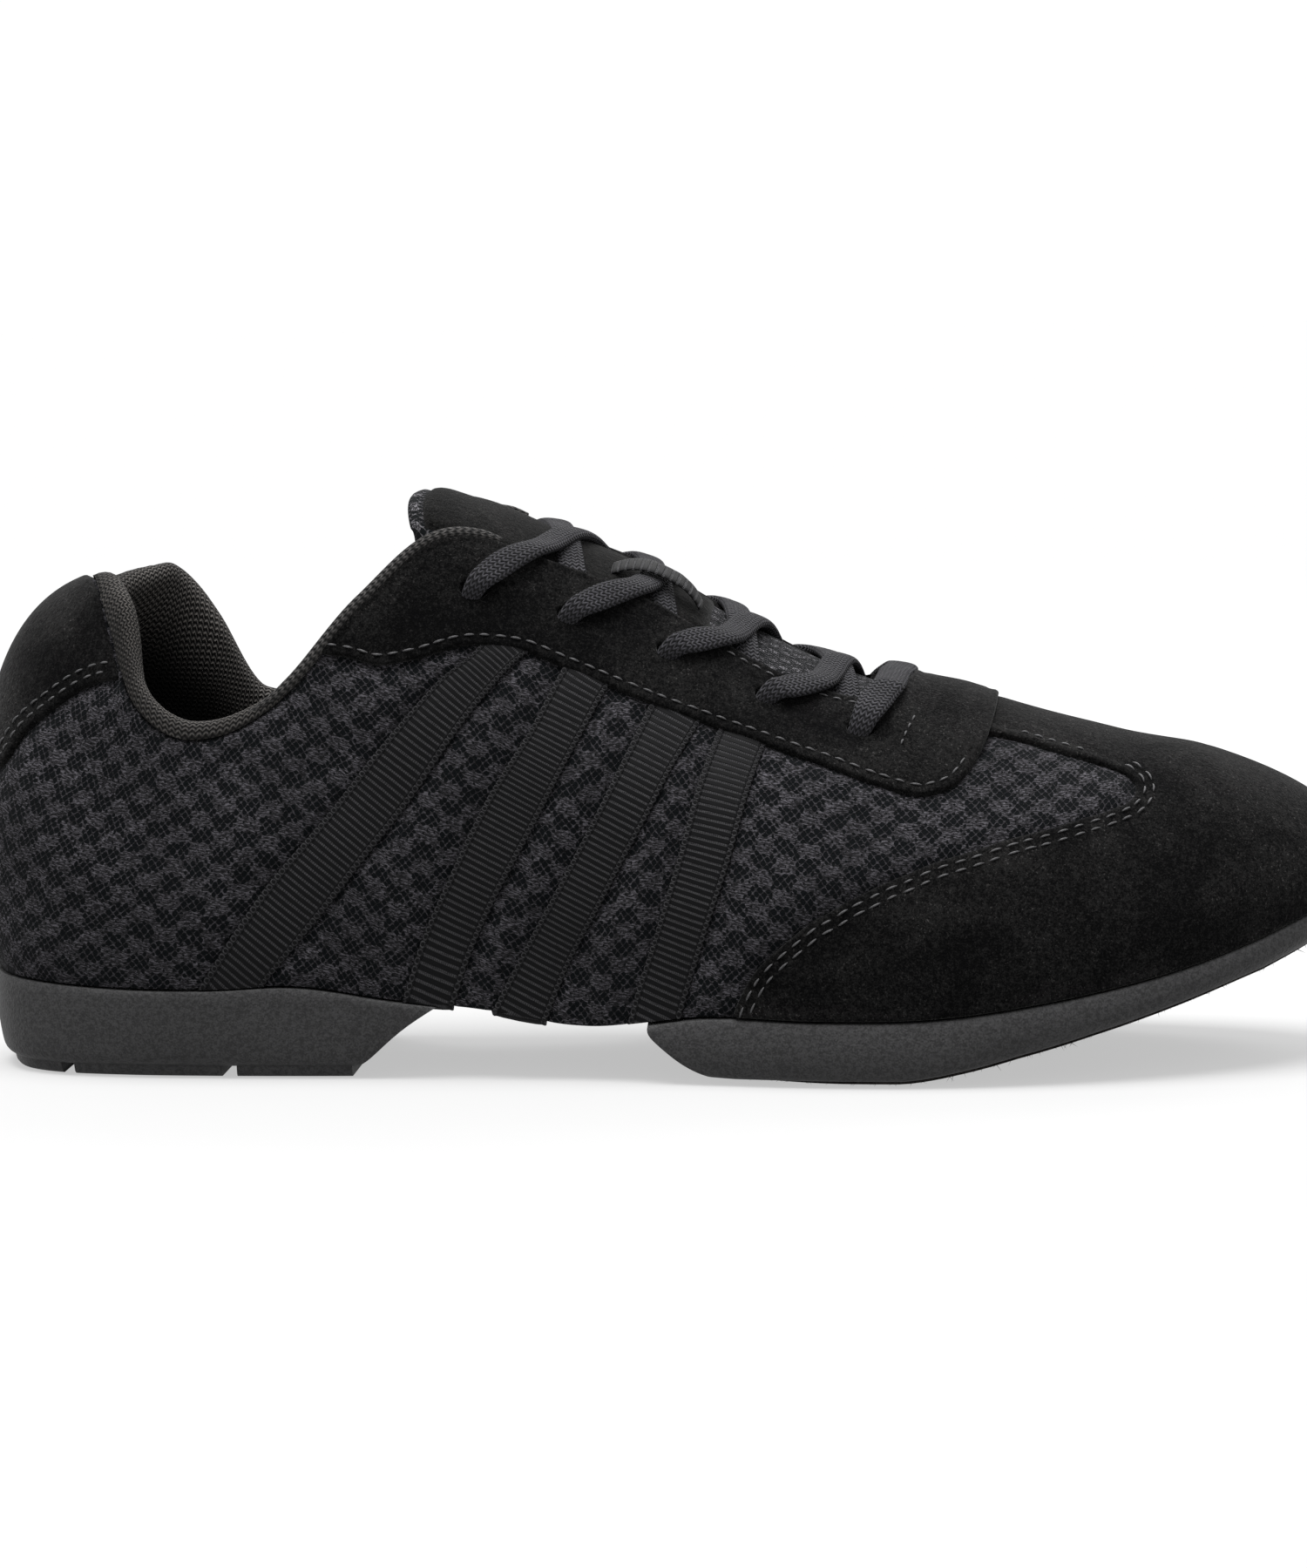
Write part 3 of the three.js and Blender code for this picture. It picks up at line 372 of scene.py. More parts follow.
# ------------------------------------------------------------------ materials
class Nodes:
    def __init__(self, name):
        self.m = bpy.data.materials.new(name)
        self.m.use_nodes = True
        self.t = self.m.node_tree
        self.bsdf = next(n for n in self.t.nodes if n.type == "BSDF_PRINCIPLED")

    def n(self, kind, **kw):
        node = self.t.nodes.new("ShaderNode" + kind)
        ins = kw.pop("ins", {})
        for k, v in kw.items():
            setattr(node, k, v)
        for k, v in ins.items():
            s = node.inputs[k]
            if isinstance(v, bpy.types.NodeSocket):
                self.t.links.new(v, s)
            else:
                s.default_value = v
        return node

    def math(self, op, a, b=0.0, c=None, clamp=False):
        ins = {0: a, 1: b}
        if c is not None:
            ins[2] = c
        return self.n("Math", operation=op, use_clamp=clamp, ins=ins).outputs[0]

    def map(self, x, a, b, c=0.0, d=1.0, kind="SMOOTHSTEP"):
        return self.n("MapRange", interpolation_type=kind, ins={0: x, 1: a, 2: b, 3: c, 4: d}).outputs[0]

    def noise(self, vec, scale, detail=3.0, rough=0.55, dist=0.0, out="Fac"):
        ins = {"Scale": scale, "Detail": detail, "Roughness": rough, "Distortion": dist}
        if vec is not None:
            ins["Vector"] = vec
        return self.n("TexNoise", ins=ins).outputs[out]

    def mix(self, f, a, b):
        node = self.n("Mix", data_type="RGBA")
        for i, v in ((0, f), (6, a), (7, b)):
            s = node.inputs[i]
            if isinstance(v, bpy.types.NodeSocket):
                self.t.links.new(v, s)
            else:
                s.default_value = v if i == 0 else (*v, 1.0) if len(v) == 3 else v
        return node.outputs[2]

    def coords(self):
        return self.n("TexCoord").outputs["Object"]

    def uv(self, angle=0.0, wobble=0.0, wscale=0.12):
        """cloth coordinates in millimetres as (x, y), turned by an angle"""
        vec = self.n("UVMap", uv_map="cloth").outputs[0]
        if wobble:
            nz = self.n("TexNoise", ins={"Vector": vec, "Scale": wscale, "Detail": 2.0}).outputs["Color"]
            nz = self.n("VectorMath", operation="SUBTRACT", ins={0: nz, 1: (0.5, 0.5, 0.5)}).outputs[0]
            nz = self.n("VectorMath", operation="SCALE", ins={0: nz, "Scale": wobble}).outputs[0]
            vec = self.n("VectorMath", operation="ADD", ins={0: vec, 1: nz}).outputs[0]
        vec = self.n("Mapping", ins={"Vector": vec, "Rotation": (0, 0, math.radians(angle))}).outputs[0]
        sep = self.n("SeparateXYZ", ins={0: vec})
        return sep.outputs[0], sep.outputs[1], vec

    def wave(self, x, period, phase=0.0):
        a = self.math("MULTIPLY_ADD", x, 2 * math.pi / period, phase)
        return self.math("COSINE", a)

    def link(self, out, name):
        self.t.links.new(out, self.bsdf.inputs[name])

    def bump(self, height, dist, strength=1.0, under=None):
        ins = {"Height": height, "Distance": dist, "Strength": strength}
        if under is not None:
            ins["Normal"] = under
        return self.n("Bump", ins=ins).outputs[0]

    def set(self, **kw):
        for k, v in kw.items():
            self.bsdf.inputs[k.replace("_", " ")].default_value = v


def mesh_fabric(name="air_mesh", angle=8.0, strand=(.0185, .0177, .0199), hole=(.0008, .0013, .0018), period=1.50, cluster=(8.8, 6.4), lo=0.16, bias=0.0):
    """spacer mesh: diamond holes between thin crossing strands, open in brick-wise groups, closed and fibrous between"""
    k = Nodes(name)
    x, y, vec = k.uv(angle, wobble=1.1, wscale=0.3)
    d = k.math("ABSOLUTE", k.math("MULTIPLY", k.math("SUBTRACT", k.wave(x, period), k.wave(y, period * 1.16)), 0.5))
    groups = k.math("MULTIPLY", k.wave(x, cluster[0]), k.wave(y, cluster[1]))
    groups = k.math("ADD", groups, k.map(k.noise(vec, 0.45, 2.0), 0.3, 0.7, -0.34 + bias, 0.34 + bias))
    t = k.math("ADD", k.map(groups, -0.30, 0.30, 0.90, lo), k.map(k.noise(vec, 0.8, 2.0), 0.3, 0.7, -0.14, 0.16))
    mask = k.map(k.math("SUBTRACT", d, t), -0.10, 0.14)
    streak = k.n("Mapping", ins={"Vector": vec, "Scale": (0.42, 1.9, 1)}).outputs[0]
    fibre = k.noise(streak, 2.5, 4.0, 0.66)
    cross = k.noise(k.n("Mapping", ins={"Vector": vec, "Rotation": (0, 0, 0.25), "Scale": (0.5, 2.2, 1)}).outputs[0], 1.9, 3.0, 0.6)
    slit = k.math("MULTIPLY", k.map(fibre, 0.44, 0.51, 1.0, 0.0), k.map(groups, 0.0, 0.4, 0.92, 0.2))
    broad = k.noise(vec, 0.05, 2.0)
    tone = k.math("MULTIPLY", k.map(cross, 0.38, 0.62, 0.22, 2.05), k.map(broad, 0.3, 0.7, 0.85, 1.15))
    tone = k.math("MULTIPLY", tone, k.map(groups, -0.1, 0.4, 1.50, 0.95))
    lit = k.n("VectorMath", operation="SCALE", ins={0: strand, "Scale": tone}).outputs[0]
    col = k.mix(slit, lit, (.0050, .0050, .0056))
    col = k.mix(mask, col, hole)
    k.link(col, "Base Color")
    h = k.math("MULTIPLY_ADD", mask, -1.0, k.math("MULTIPLY", groups, -0.25))
    h = k.math("MULTIPLY_ADD", slit, -0.45, h)
    h = k.math("MULTIPLY_ADD", cross, 0.35, h)
    k.link(k.bump(h, 0.00042, 0.9), "Normal")
    k.set(Roughness=0.9, Specular_IOR_Level=0.04, Sheen_Weight=0.015, Sheen_Roughness=0.6)
    return k.m


def suede(name="suede", dark=(.0010, .0010, .0011), light=(.0088, .0086, .0085), fleck=(.046, .044, .043), nap=1.0):
    k = Nodes(name)
    vec = k.coords()
    fine = k.noise(vec, 2600, 3.0, 0.7)
    mid = k.noise(vec, 900, 4.0, 0.62)
    broad = k.noise(vec, 55, 3.0, 0.5, 0.6)
    f = k.math("MULTIPLY_ADD", fine, 0.50, k.math("MULTIPLY_ADD", mid, 0.30, k.math("MULTIPLY", broad, 0.30)))
    f = k.map(f, 0.47, 0.68)
    col = k.mix(f, dark, light)
    # rubbed nap catches light in small flecks
    spot = k.math("MULTIPLY", k.map(k.noise(vec, 1900, 2.0, 0.75), 0.58, 0.74), k.map(broad, 0.35, 0.7, 0.15, 0.75))
    k.link(k.mix(spot, col, fleck), "Base Color")
    h = k.math("MULTIPLY_ADD", fine, 0.5, k.math("MULTIPLY", mid, 0.9))
    h = k.math("MULTIPLY_ADD", broad, 1.2, h)
    k.link(k.bump(h, 0.00034 * nap, 0.85), "Normal")
    k.set(Roughness=0.95, Specular_IOR_Level=0.03, Sheen_Weight=0.062, Sheen_Roughness=0.32)
    return k.m


def grosgrain(name="grosgrain", pitch=1.27, half=5.0):
    """ribbed tape: raised picks of shiny yarn with dark ground between, looped binding along both edges"""
    k = Nodes(name)
    x, y, vec = k.uv(0, wobble=0.10, wscale=0.5)
    rib = k.map(k.wave(y, pitch), 0.05, 0.85)
    picks = k.map(k.wave(x, 0.42), -0.8, 0.8, 0.5, 1.2)
    wear = k.map(k.noise(k.n("Mapping", ins={"Vector": vec, "Scale": (.6, 2.4, 1)}).outputs[0], 1.2, 3.0), 0.3, 0.7, 0.55, 1.3)
    side = k.math("ABSOLUTE", x)
    selv = k.map(side, half - 1.25, half - 1.1)
    core = k.math("MULTIPLY", k.math("MULTIPLY", rib, picks), k.math("MULTIPLY", wear, k.math("SUBTRACT", 1.0, selv)))
    # loops of the binding thread
    py = k.math("PINGPONG", y, pitch / 2)
    px = k.math("SUBTRACT", side, half - 0.62)
    r = k.math("SQRT", k.math("MULTIPLY_ADD", px, px, k.math("MULTIPLY", py, py)))
    loop = k.map(k.math("ABSOLUTE", k.math("SUBTRACT", r, 0.46)), 0.05, 0.22, 1.0, 0.0)
    loop = k.math("MULTIPLY", k.math("MULTIPLY", loop, selv), k.math("MULTIPLY", wear, 0.62))
    seam = k.map(k.math("ABSOLUTE", k.math("SUBTRACT", side, half - 1.18)), 0.05, 0.24, 1.0, 0.0)
    h = k.math("MAXIMUM", core, loop)
    col = k.mix(h, (.0013, .0013, .0016), (.034, .0334, .0356))
    col = k.mix(k.math("MULTIPLY", seam, 0.7), col, (.002, .002, .0025))
    k.link(col, "Base Color")
    h = k.math("MULTIPLY_ADD", seam, -0.8, h)
    k.link(k.bump(h, 0.00045, 0.9), "Normal")
    k.set(Roughness=0.6, Specular_IOR_Level=0.08)
    return k.m


def knit(name, base, dark, px=1.15, py=0.95, rough=0.85, lift=0.00028, spec=0.15, contrast=1.0, angle=0.0, painted_light_and_shade=False):
    """rows of V-shaped loops; with the option on, painted light over the rounded edge and painted shade darker down
    inside
    """
    k = Nodes(name)
    x, y, vec = k.uv(angle, wobble=0.22, wscale=0.6)
    zig = k.math("PINGPONG", x, px / 2)
    yy = k.math("MULTIPLY_ADD", zig, 0.95, y)
    loop = k.wave(yy, py)
    col_ = k.wave(x, px / 2)
    h = k.math("MULTIPLY_ADD", col_, -0.35, loop)
    nz = k.noise(vec, 2.4, 3.0, 0.6)
    h = k.math("MULTIPLY_ADD", nz, 0.9, h)
    f = k.map(h, -0.7, 1.5)
    broad = k.map(k.noise(vec, 0.09, 2.0), 0.3, 0.7, 0.85, 1.15)
    # painted light: lighter over the collar's rounded edge; painted shade: darker further down inside
    if painted_light_and_shade:
        broad = k.math("MULTIPLY", broad, k.math("MULTIPLY", k.map(y, -3.0, 2.0, 0.82, 1.9), k.map(y, 7.0, 26.0, 1.0, 0.07)))
    lit = k.n("VectorMath", operation="SCALE", ins={0: base, "Scale": broad}).outputs[0]
    k.link(k.mix(k.math("MULTIPLY", k.math("SUBTRACT", 1.0, f), contrast, clamp=True), lit, dark), "Base Color")
    k.link(k.bump(h, lift, 0.9), "Normal")
    k.set(Roughness=rough, Specular_IOR_Level=spec, Sheen_Weight=0.02, Sheen_Roughness=0.6)
    return k.m


def rubber(name="moulded_rubber", base=(.0218, .0216, .0221)):
    k = Nodes(name)
    vec = k.coords()
    grain = k.n("TexVoronoi", feature="SMOOTH_F1", ins={"Vector": vec, "Scale": 1700.0, "Smoothness": 0.6}).outputs["Distance"]
    fine = k.noise(vec, 3200, 2.0, 0.6)
    broad = k.noise(vec, 30, 3.0, 0.5)
    tone = k.math("MULTIPLY", k.map(broad, 0.3, 0.7, 0.88, 1.12), k.map(k.math("MULTIPLY_ADD", fine, 0.5, k.math("MULTIPLY", k.noise(vec, 1100, 3.0, 0.65), 0.5)), 0.42, 0.58, 0.66, 1.34))
    scuff = k.map(k.noise(k.n("Mapping", ins={"Vector": vec, "Scale": (60, 60, 420)}).outputs[0], 1.0, 4.0, 0.7), 0.62, 0.78)
    lit = k.n("VectorMath", operation="SCALE", ins={0: base, "Scale": tone}).outputs[0]
    k.link(k.mix(k.math("MULTIPLY", scuff, 0.16), lit, (.060, .060, .060)), "Base Color")
    k.link(k.map(broad, 0.3, 0.7, 0.52, 0.66), "Roughness")
    h = k.math("MULTIPLY_ADD", fine, 0.4, grain)
    k.link(k.bump(h, 0.00012, 0.9), "Normal")
    k.set(Specular_IOR_Level=0.16)
    return k.m


def thread(name="thread", base=(.036, .0354, .037)):
    k = Nodes(name)
    vec = k.coords()
    tw = k.noise(vec, 2800, 2.0, 0.5)
    lit = k.n("VectorMath", operation="SCALE", ins={0: base, "Scale": k.map(tw, 0.3, 0.7, 0.55, 1.35)}).outputs[0]
    k.link(lit, "Base Color")
    k.link(k.bump(tw, 0.00012, 0.7), "Normal")
    k.set(Roughness=0.6, Specular_IOR_Level=0.35)
    return k.m


MESH = mesh_fabric()
TONGUE_MESH = mesh_fabric("tongue_mesh", angle=0.0, strand=(.040, .0387, .0418), period=1.75, cluster=(7.0, 5.2), lo=0.17, bias=0.5)
SUEDE = suede()
PATCH = suede("tongue_suede", (.0010, .0010, .0010), (.0070, .0068, .0066), (.036, .034, .033))
PAD_SUEDE = suede("outsole_suede", (.008, .0075, .007), (.034, .031, .029), (.06, .056, .052), 2.4)
RIBBON = grosgrain()
KEEPER = grosgrain("keeper_tape", 1.5, 40.0)
# the collar knit carries painted light over its rounded edge and painted shade down inside
LINING = knit("collar_knit", (.042, .0389, .0362), (.0016, .0015, .0015), 1.35, 1.05, lift=0.0004, spec=0.06, painted_light_and_shade=True)
# a much darker copy of the collar knit: painted shade inside the shoe
LINING_IN_SHADE = knit("inner_knit_painted_shade", (.0055, .0053, .0052), (.0004, .0004, .0005), 1.35, 1.05, spec=0.03)
PIPING = knit("piping", (.046, .0435, .0420), (.002, .002, .002), 1.0, 1.5, lift=0.0004)
LACE = knit("lace_knit", (.038, .0370, .0425), (.0016, .0016, .0022), 1.35, 1.05, lift=0.0005, spec=0.10)
RUBBER = rubber()
THREAD = thread()


# ------------------------------------------------------------------ upper
def ribs_ring(n):
    """rib numbers once round the shoe, spaced evenly along the foot"""
    us = np.linspace(0, U_END, 1200)
    out = []
    for s in (L, M):
        p = skin(us, np.full_like(us, 0.45), s)
        d = np.r_[0, np.cumsum(np.linalg.norm(np.diff(p, axis=0), axis=1))]
        out.append(np.interp(np.linspace(0, d[-1], n), d, us))
    return out[0], out[1]


def cloth_uv(u, P, side):
    """millimetres along the foot and up from the feather edge; P is (nu, nv, 3)"""
    us = np.linspace(0, U_END, 1200)
    p = skin(us, np.full_like(us, 0.45), side)
    d = np.r_[0, np.cumsum(np.linalg.norm(np.diff(p, axis=0), axis=1))]
    s = np.interp(u, us, d)
    t = np.concatenate([np.zeros((len(u), 1)), np.cumsum(np.linalg.norm(np.diff(P, axis=1), axis=2), axis=1)], 1)
    return np.stack([np.broadcast_to(s[:, None], t.shape) * (1 if side < 0 else -1), t], -1)


def rib_len(u, side):
    v = np.linspace(0, 1, 24)
    P = skin(u[..., None], v, side)
    return np.linalg.norm(np.diff(P, axis=-2), axis=-1).sum(-1)


def edge_v(edge, u):
    e = np.asarray(edge, float)
    return np.interp(u, e[:, 0], e[:, 1])


def ribbon_gap(u, v, side):
    """rough distance in mm from the nearest ribbon, 0 under one"""
    best = np.full(np.shape(u), 99.0)
    for left, right in RIBBONS:
        a, b = np.array(left)[::-1], np.array(right)[::-1]
        ul, ur = np.interp(v, a[:, 1], a[:, 0]), np.interp(v, b[:, 1], b[:, 0])
        d = np.maximum(np.maximum(ul - u, u - ur), 0) * 14.5
        d = np.where(v > a[-1, 1] + .02, 99, d)
        best = np.minimum(best, d)
    return best


def overlay_outlines():
    eye = [tuple(p) for p in spline(EYESTAY_EDGE, 90)]
    wing = [tuple(p) for p in spline(WING_EDGE, 110)]
    tab = [tuple(p) for p in spline(COUNTER_EDGE, 50)]
    cb = [(a, b - 0.012) for a, b in spline([p for p in COLLAR_BAND if p[0] < 2.4] + [(2.42, .893)], 40)][::-1]
    return [(eye + [(eye[-1][0], 3.0), (eye[0][0], 3.0)], eye), (wing + [(11.50, 3.0), (18, 3.0), (18, -1), (9.25, -1)], wing),
            (tab + [(2.40, .868)] + cb + [(-.3, .97)], tab)]


OVERLAYS = overlay_outlines()
# creases of the side panel: start, end (rib, place on it), half width mm, depth mm
FOLDS = [
    ((4.55, .30), (5.6, .05), 4.5, .55), ((5.75, .22), (6.0, .02), 3.5, .55), ((2.3, .60), (3.7, .50), 7, .45),
    ((3.2, .85), (4.4, .78), 5, .5), ((7.0, .16), (6.85, .01), 2.6, .6), ((8.0, .14), (7.95, .01), 2.4, .6),
    ((1.6, .18), (3.0, .12), 7, .4), ((9.6, .40), (10.4, .52), 6, .35), ((10.6, .5), (12.3, .66), 7, .4), ((5.3, .62), (6.2, .60), 4, .45),
    ((9.15, .22), (9.3, .05), 3, .5),
]


def folds(P, side):
    out = np.zeros(len(P))
    for a, b, w, h in FOLDS:
        t = np.linspace(0, 1, 14)
        line = skin(a[0] + (b[0] - a[0]) * t, a[1] + (b[1] - a[1]) * t, side)
        d = seg_dist(P, line)
        out += -h * np.exp(-(d / w) ** 2) + 0.55 * h * np.exp(-((d - 1.7 * w) / w) ** 2)
    return out


def panel_height(u, v, P, side):
    """how far the padded mesh stands off the last: puffed up between seams"""
    rl = rib_len(u, side)
    tape = ribbon_gap(u, v, side)
    hidden, seam = np.zeros(u.shape, bool), np.full(u.shape, 99.0)
    for poly, edge in OVERLAYS:
        hidden |= in_poly(u.ravel(), v.ravel(), poly).reshape(u.shape)
        e = np.array([q for q in edge if 0 <= q[0] <= U_END])
        seam = np.minimum(seam, seg_dist(P, skin(e[:, 0], e[:, 1].clip(0, 1.1), side)).reshape(u.shape))
    band = np.where(u < 5.6, (edge_v(COLLAR_BAND, u) - v) * rl, 99)
    g = np.minimum.reduce([tape, seam, np.maximum(band, 0) + .2, v * rl + 0.6])
    puff = 1.2 * (1 - np.exp(-np.maximum(g, 0) / 2.4))
    return np.where(hidden, 0, puff), hidden


def upper_shell():
    ul, um = ribs_ring(340)
    nv = 76
    w = np.linspace(0, 1, nv)
    b = Build()
    rows, uvs = [], []
    for us, side in ((ul, L), (um, M)):
        k = v_top(us, side)
        V = w[None, :] * k[:, None]
        band = edge_v(COLLAR_BAND, us)
        U = np.broadcast_to(us[:, None], V.shape)
        P0 = skin(U, V, side)
        h, hidden = panel_height(U, V, P0, side)
        fo = folds(P0.reshape(-1, 3), side).reshape(h.shape)
        rl = rib_len(us, side)[:, None]
        # tucked in under the collar's knit
        over = np.where(us[:, None] < 5.6, (V - band[:, None]) * rl, -9)
        h = h + np.where(hidden, 0, fo * smooth(0, 3, h * 3))
        h = np.where(over > -0.2, np.maximum(-1.4, h - 1.8 * smooth(-0.2, 0.9, over)), h)
        for ue, ve in EYELETS:
            q = skin(np.array([ue]), np.array([ve]), side)[0]
            rr = np.linalg.norm(P0 - q, axis=-1)
            h = h - 1.5 * (1 - smooth(1.8, 3.0, rr))
        P = P0 + normal(U, V, side) * h[..., None]
        rows.append(P)
        uvs.append(cloth_uv(us, P0, side))
    # once round: lateral heel to toe, medial toe to heel
    P = np.concatenate([rows[0], rows[1][::-1][1:-1]])
    UV = np.concatenate([uvs[0], uvs[1][::-1][1:-1]])
    b.grid(P, UV, wrap=True)
    # margin turned in under the foot
    steps = np.array([0, .25, .6, 1.0])
    lo = []
    for us, side in ((ul, L), (um, M)):
        B, n = foot(us, side), outward(us, side)
        q = []
        arch = smooth(84, 90, B[:, 0]) * (1 - smooth(130, 136, B[:, 0]))
        width = np.maximum(foot(us, M)[:, 1] - foot(us, L)[:, 1], 0) / 2
        reach = MARGIN + (np.maximum(width - 0.05, MARGIN) - MARGIN) * arch
        for s in steps:
            x = B[:, 0] - n[:, 0] * s * reach
            y = B[:, 1] - n[:, 1] * s * reach
            z = floor_z(x, y) + (0.0 if s == 0 else 0.05) - 0.25 * np.sin(np.pi * min(s * 1.2, 1)) * arch
            q.append(np.stack([x, y, z], -1))
        lo.append(np.stack(q, 1))
    Q = np.concatenate([lo[0], lo[1][::-1][1:-1]])
    b.grid(Q, Q[..., :2] * 1.0, wrap=True, flip=True)
    ob = b.done("upper_mesh_shell", [MESH], slot="mesh_fabric", replaces=["upper"], weld=2e-5)
    return ob


# ------------------------------------------------------------------ suede overlays
def overlay_piece(name, mat, regions, slot, replaces, bevel=0.8, top=OVERLAY, step=0.72, extra=None, holes=True):
    """regions: list of (side, u0, u1, w0, edge test, boundary lines). Cut from a fine grid over the last, so that
    its edges run true; the edge drops to the mesh below, rounded."""
    LEV = [0.0, 0.14, 0.38, 0.85, 1e9]
    HT = [-GAP - 0.35, 0.72, 1.02, top]
    VP, VF = [], []
    n0 = 0
    phis = []
    for side, us, vlo, poly, lines, shut in regions:
        k = v_top(us, side)
        rl = float(np.max(rib_len(us, side) * (k - vlo)))
        nv = max(int(rl / step), 6)
        w = np.linspace(0, 1, nv)
        V = vlo + (k[:, None] - vlo) * w[None, :]
        U = np.broadcast_to(us[:, None], V.shape)
        P = skin(U, V, side)
        inside = in_poly(U.ravel(), V.ravel(), poly).reshape(U.shape) | (w[None, :] > 0.9999)
        ins2 = in_poly(U.ravel(), np.minimum(V.ravel(), k.repeat(nv) - 1e-4), poly).reshape(U.shape)
        inside = np.where(w[None, :] > 0.9999, ins2, inside)
        phi = np.full(P.shape[:2], 1e9)
        for ln in lines:
            phi = np.minimum(phi, seg_dist(P, ln).reshape(phi.shape))
        if shut is not None:   # the throat or collar edge counts as an edge
            phi = np.minimum(phi, seg_dist(P, shut).reshape(phi.shape))
        phi = np.where(inside, phi, -phi)
        if holes:
            for ue, ve in EYELETS:
                q = skin(np.array([ue]), np.array([ve]), side)[0]
                q1 = skin(np.array([ue + .1]), np.array([ve]), side)[0]
                tx = unit(q1 - q)
                dd = P - q
                a = dd @ tx
                c = np.linalg.norm(dd - a[..., None] * tx, axis=-1)
                ov = (np.sqrt((a / 2.5) ** 2 + (c / 1.7) ** 2) - 1) * 1.7
                phi = np.where(inside, np.minimum(phi, ov), phi)
        nu = len(us)
        idx = {}
        verts = []   # (u, v, phi)

        def node(i, j):
            key = (i, j)
            if key not in idx:
                idx[key] = len(verts)
                verts.append((U[i, j], V[i, j], phi[i, j]))
            return idx[key]

        def cut(a, b, lev):
            pa, pb = phi[a], phi[b]
            key = (min(a, b), max(a, b), lev)
            if key not in idx:
                f = (lev - pa) / (pb - pa)
                idx[key] = len(verts)
                verts.append((U[a] + (U[b] - U[a]) * f, V[a] + (V[b] - V[a]) * f, lev))
            return idx[key]

        ph = phi
        c4 = np.stack([ph[:-1, :-1], ph[1:, :-1], ph[1:, 1:], ph[:-1, 1:]], -1)
        lo4, hi4 = c4.min(-1), c4.max(-1)
        for i, j in zip(*np.nonzero(hi4 > 0)):
            cell = [(i, j), (i + 1, j), (i + 1, j + 1), (i, j + 1)]
            if lo4[i, j] >= LEV[3]:
                VF.append((n0, side, [node(*c) for c in cell]))
                continue
            # a polygon of (kind, ...) points, cut to each band of levels
            for lev0, lev1 in zip(LEV[:-1], LEV[1:]):
                if hi4[i, j] <= lev0 or lo4[i, j] >= lev1:
                    continue
                poly_ = []
                for q in range(4):
                    a, b_ = cell[q], cell[(q + 1) % 4]
                    pa, pb = ph[a], ph[b_]
                    if lev0 <= pa < lev1:
                        poly_.append(node(*a))
                    cr = []
                    for lev in (lev0, lev1):
                        if lev < 1e8 and (pa < lev) != (pb < lev):
                            cr.append(((lev - pa) / (pb - pa), lev))
                    for f, lev in sorted(cr):
                        poly_.append(cut(a, b_, lev))
                poly_ = [p for q, p in enumerate(poly_) if p != poly_[q - 1]]
                if len(poly_) >= 3:
                    VF.append((n0, side, poly_))
        vv = np.array(verts)
        h = np.interp(vv[:, 2], LEV[:4], HT)
        h = GAP + h
        S = skin(vv[:, 0], vv[:, 1], side)
        if extra is not None:
            h = h + extra(vv[:, 0], vv[:, 1], vv[:, 2], S, side)
        PP = S + normal(vv[:, 0], vv[:, 1], side) * h[:, None]
        VP.append(PP)
        VF = [(a, b_, c) for a, b_, c in VF]
        n0 += len(verts)
        phis.append(vv[:, 2])
    F = []
    for base, side, f in VF:
        g = [base + i for i in f]
        F.append(g if side < 0 else g[::-1])
    return make(name, np.concatenate(VP), F, [mat], slot=slot, replaces=replaces, weld=1.5e-5)


def on_skin(pts, side, n=160, d=0.0):
    c = spline(pts, n)
    return offset(c[:, 0], c[:, 1], side, d), c


def even_us(u0, u1, side, step=0.72):
    us = np.linspace(u0, u1, 800)
    p = skin(us, np.full_like(us, .6), side)
    d = np.r_[0, np.cumsum(np.linalg.norm(np.diff(p, axis=0), axis=1))]
    return np.interp(np.linspace(0, d[-1], max(int(d[-1] / step), 4) + 1), d, us)


def split_at(us, u):
    """the list with u itself in it"""
    i = int(np.argmin(abs(us - u)))
    us = us.copy()
    us[i] = u
    return us


def close_up(edge):
    """polygon of the region above an edge"""
    e = list(edge)
    return e + [(e[-1][0], 3.0), (e[0][0], 3.0)]


def top_line(u0, u1, side, n=200):
    us = np.linspace(u0, u1, n)
    return skin(us, v_top(us, side), side)


def eyestay():
    def extra(u, v, phi, S, side):
        # the suede sinks a little round each hole and along the seam; its front lies over the centre strip
        h = -0.16 * np.exp(-((phi - 2.0) / 0.55) ** 2) * (phi < 3.4) + 1.0 * smooth(10.95, 11.4, u) * smooth(.70, .80, v)
        for a, b, w_, hh in (((8.3, .78), (8.7, .92), 3.5, .25), ((9.2, .75), (9.5, .9), 3.5, .25), ((10.7, .70), (11.2, .86), 5, .3), ((6.6, .80), (6.5, .95), 6, .3), ((7.6, .80), (7.7, .95), 3, .2)):
            t = np.linspace(0, 1, 8)
            d = seg_dist(S, skin(a[0] + (b[0] - a[0]) * t, a[1] + (b[1] - a[1]) * t, side))
            h = h - hh * np.exp(-(d / w_) ** 2)
        return h
    reg = []
    edge = np.array(spline(EYESTAY_EDGE, 110))
    poly = close_up([tuple(p) for p in edge])
    for side in (L, M):
        line = skin(edge[:, 0], np.minimum(edge[:, 1], v_top(edge[:, 0], side)), side)
        us = split_at(even_us(5.46, 11.70, side, 0.62), RIDGE_U)
        throat = top_line(5.4, RIDGE_U, side, 110)
        reg.append((side, us, 0.55, poly, [line], throat))
    return overlay_piece("eyestay_suede", SUEDE, reg, "suede", ["eyestay"], extra=extra, step=0.62)


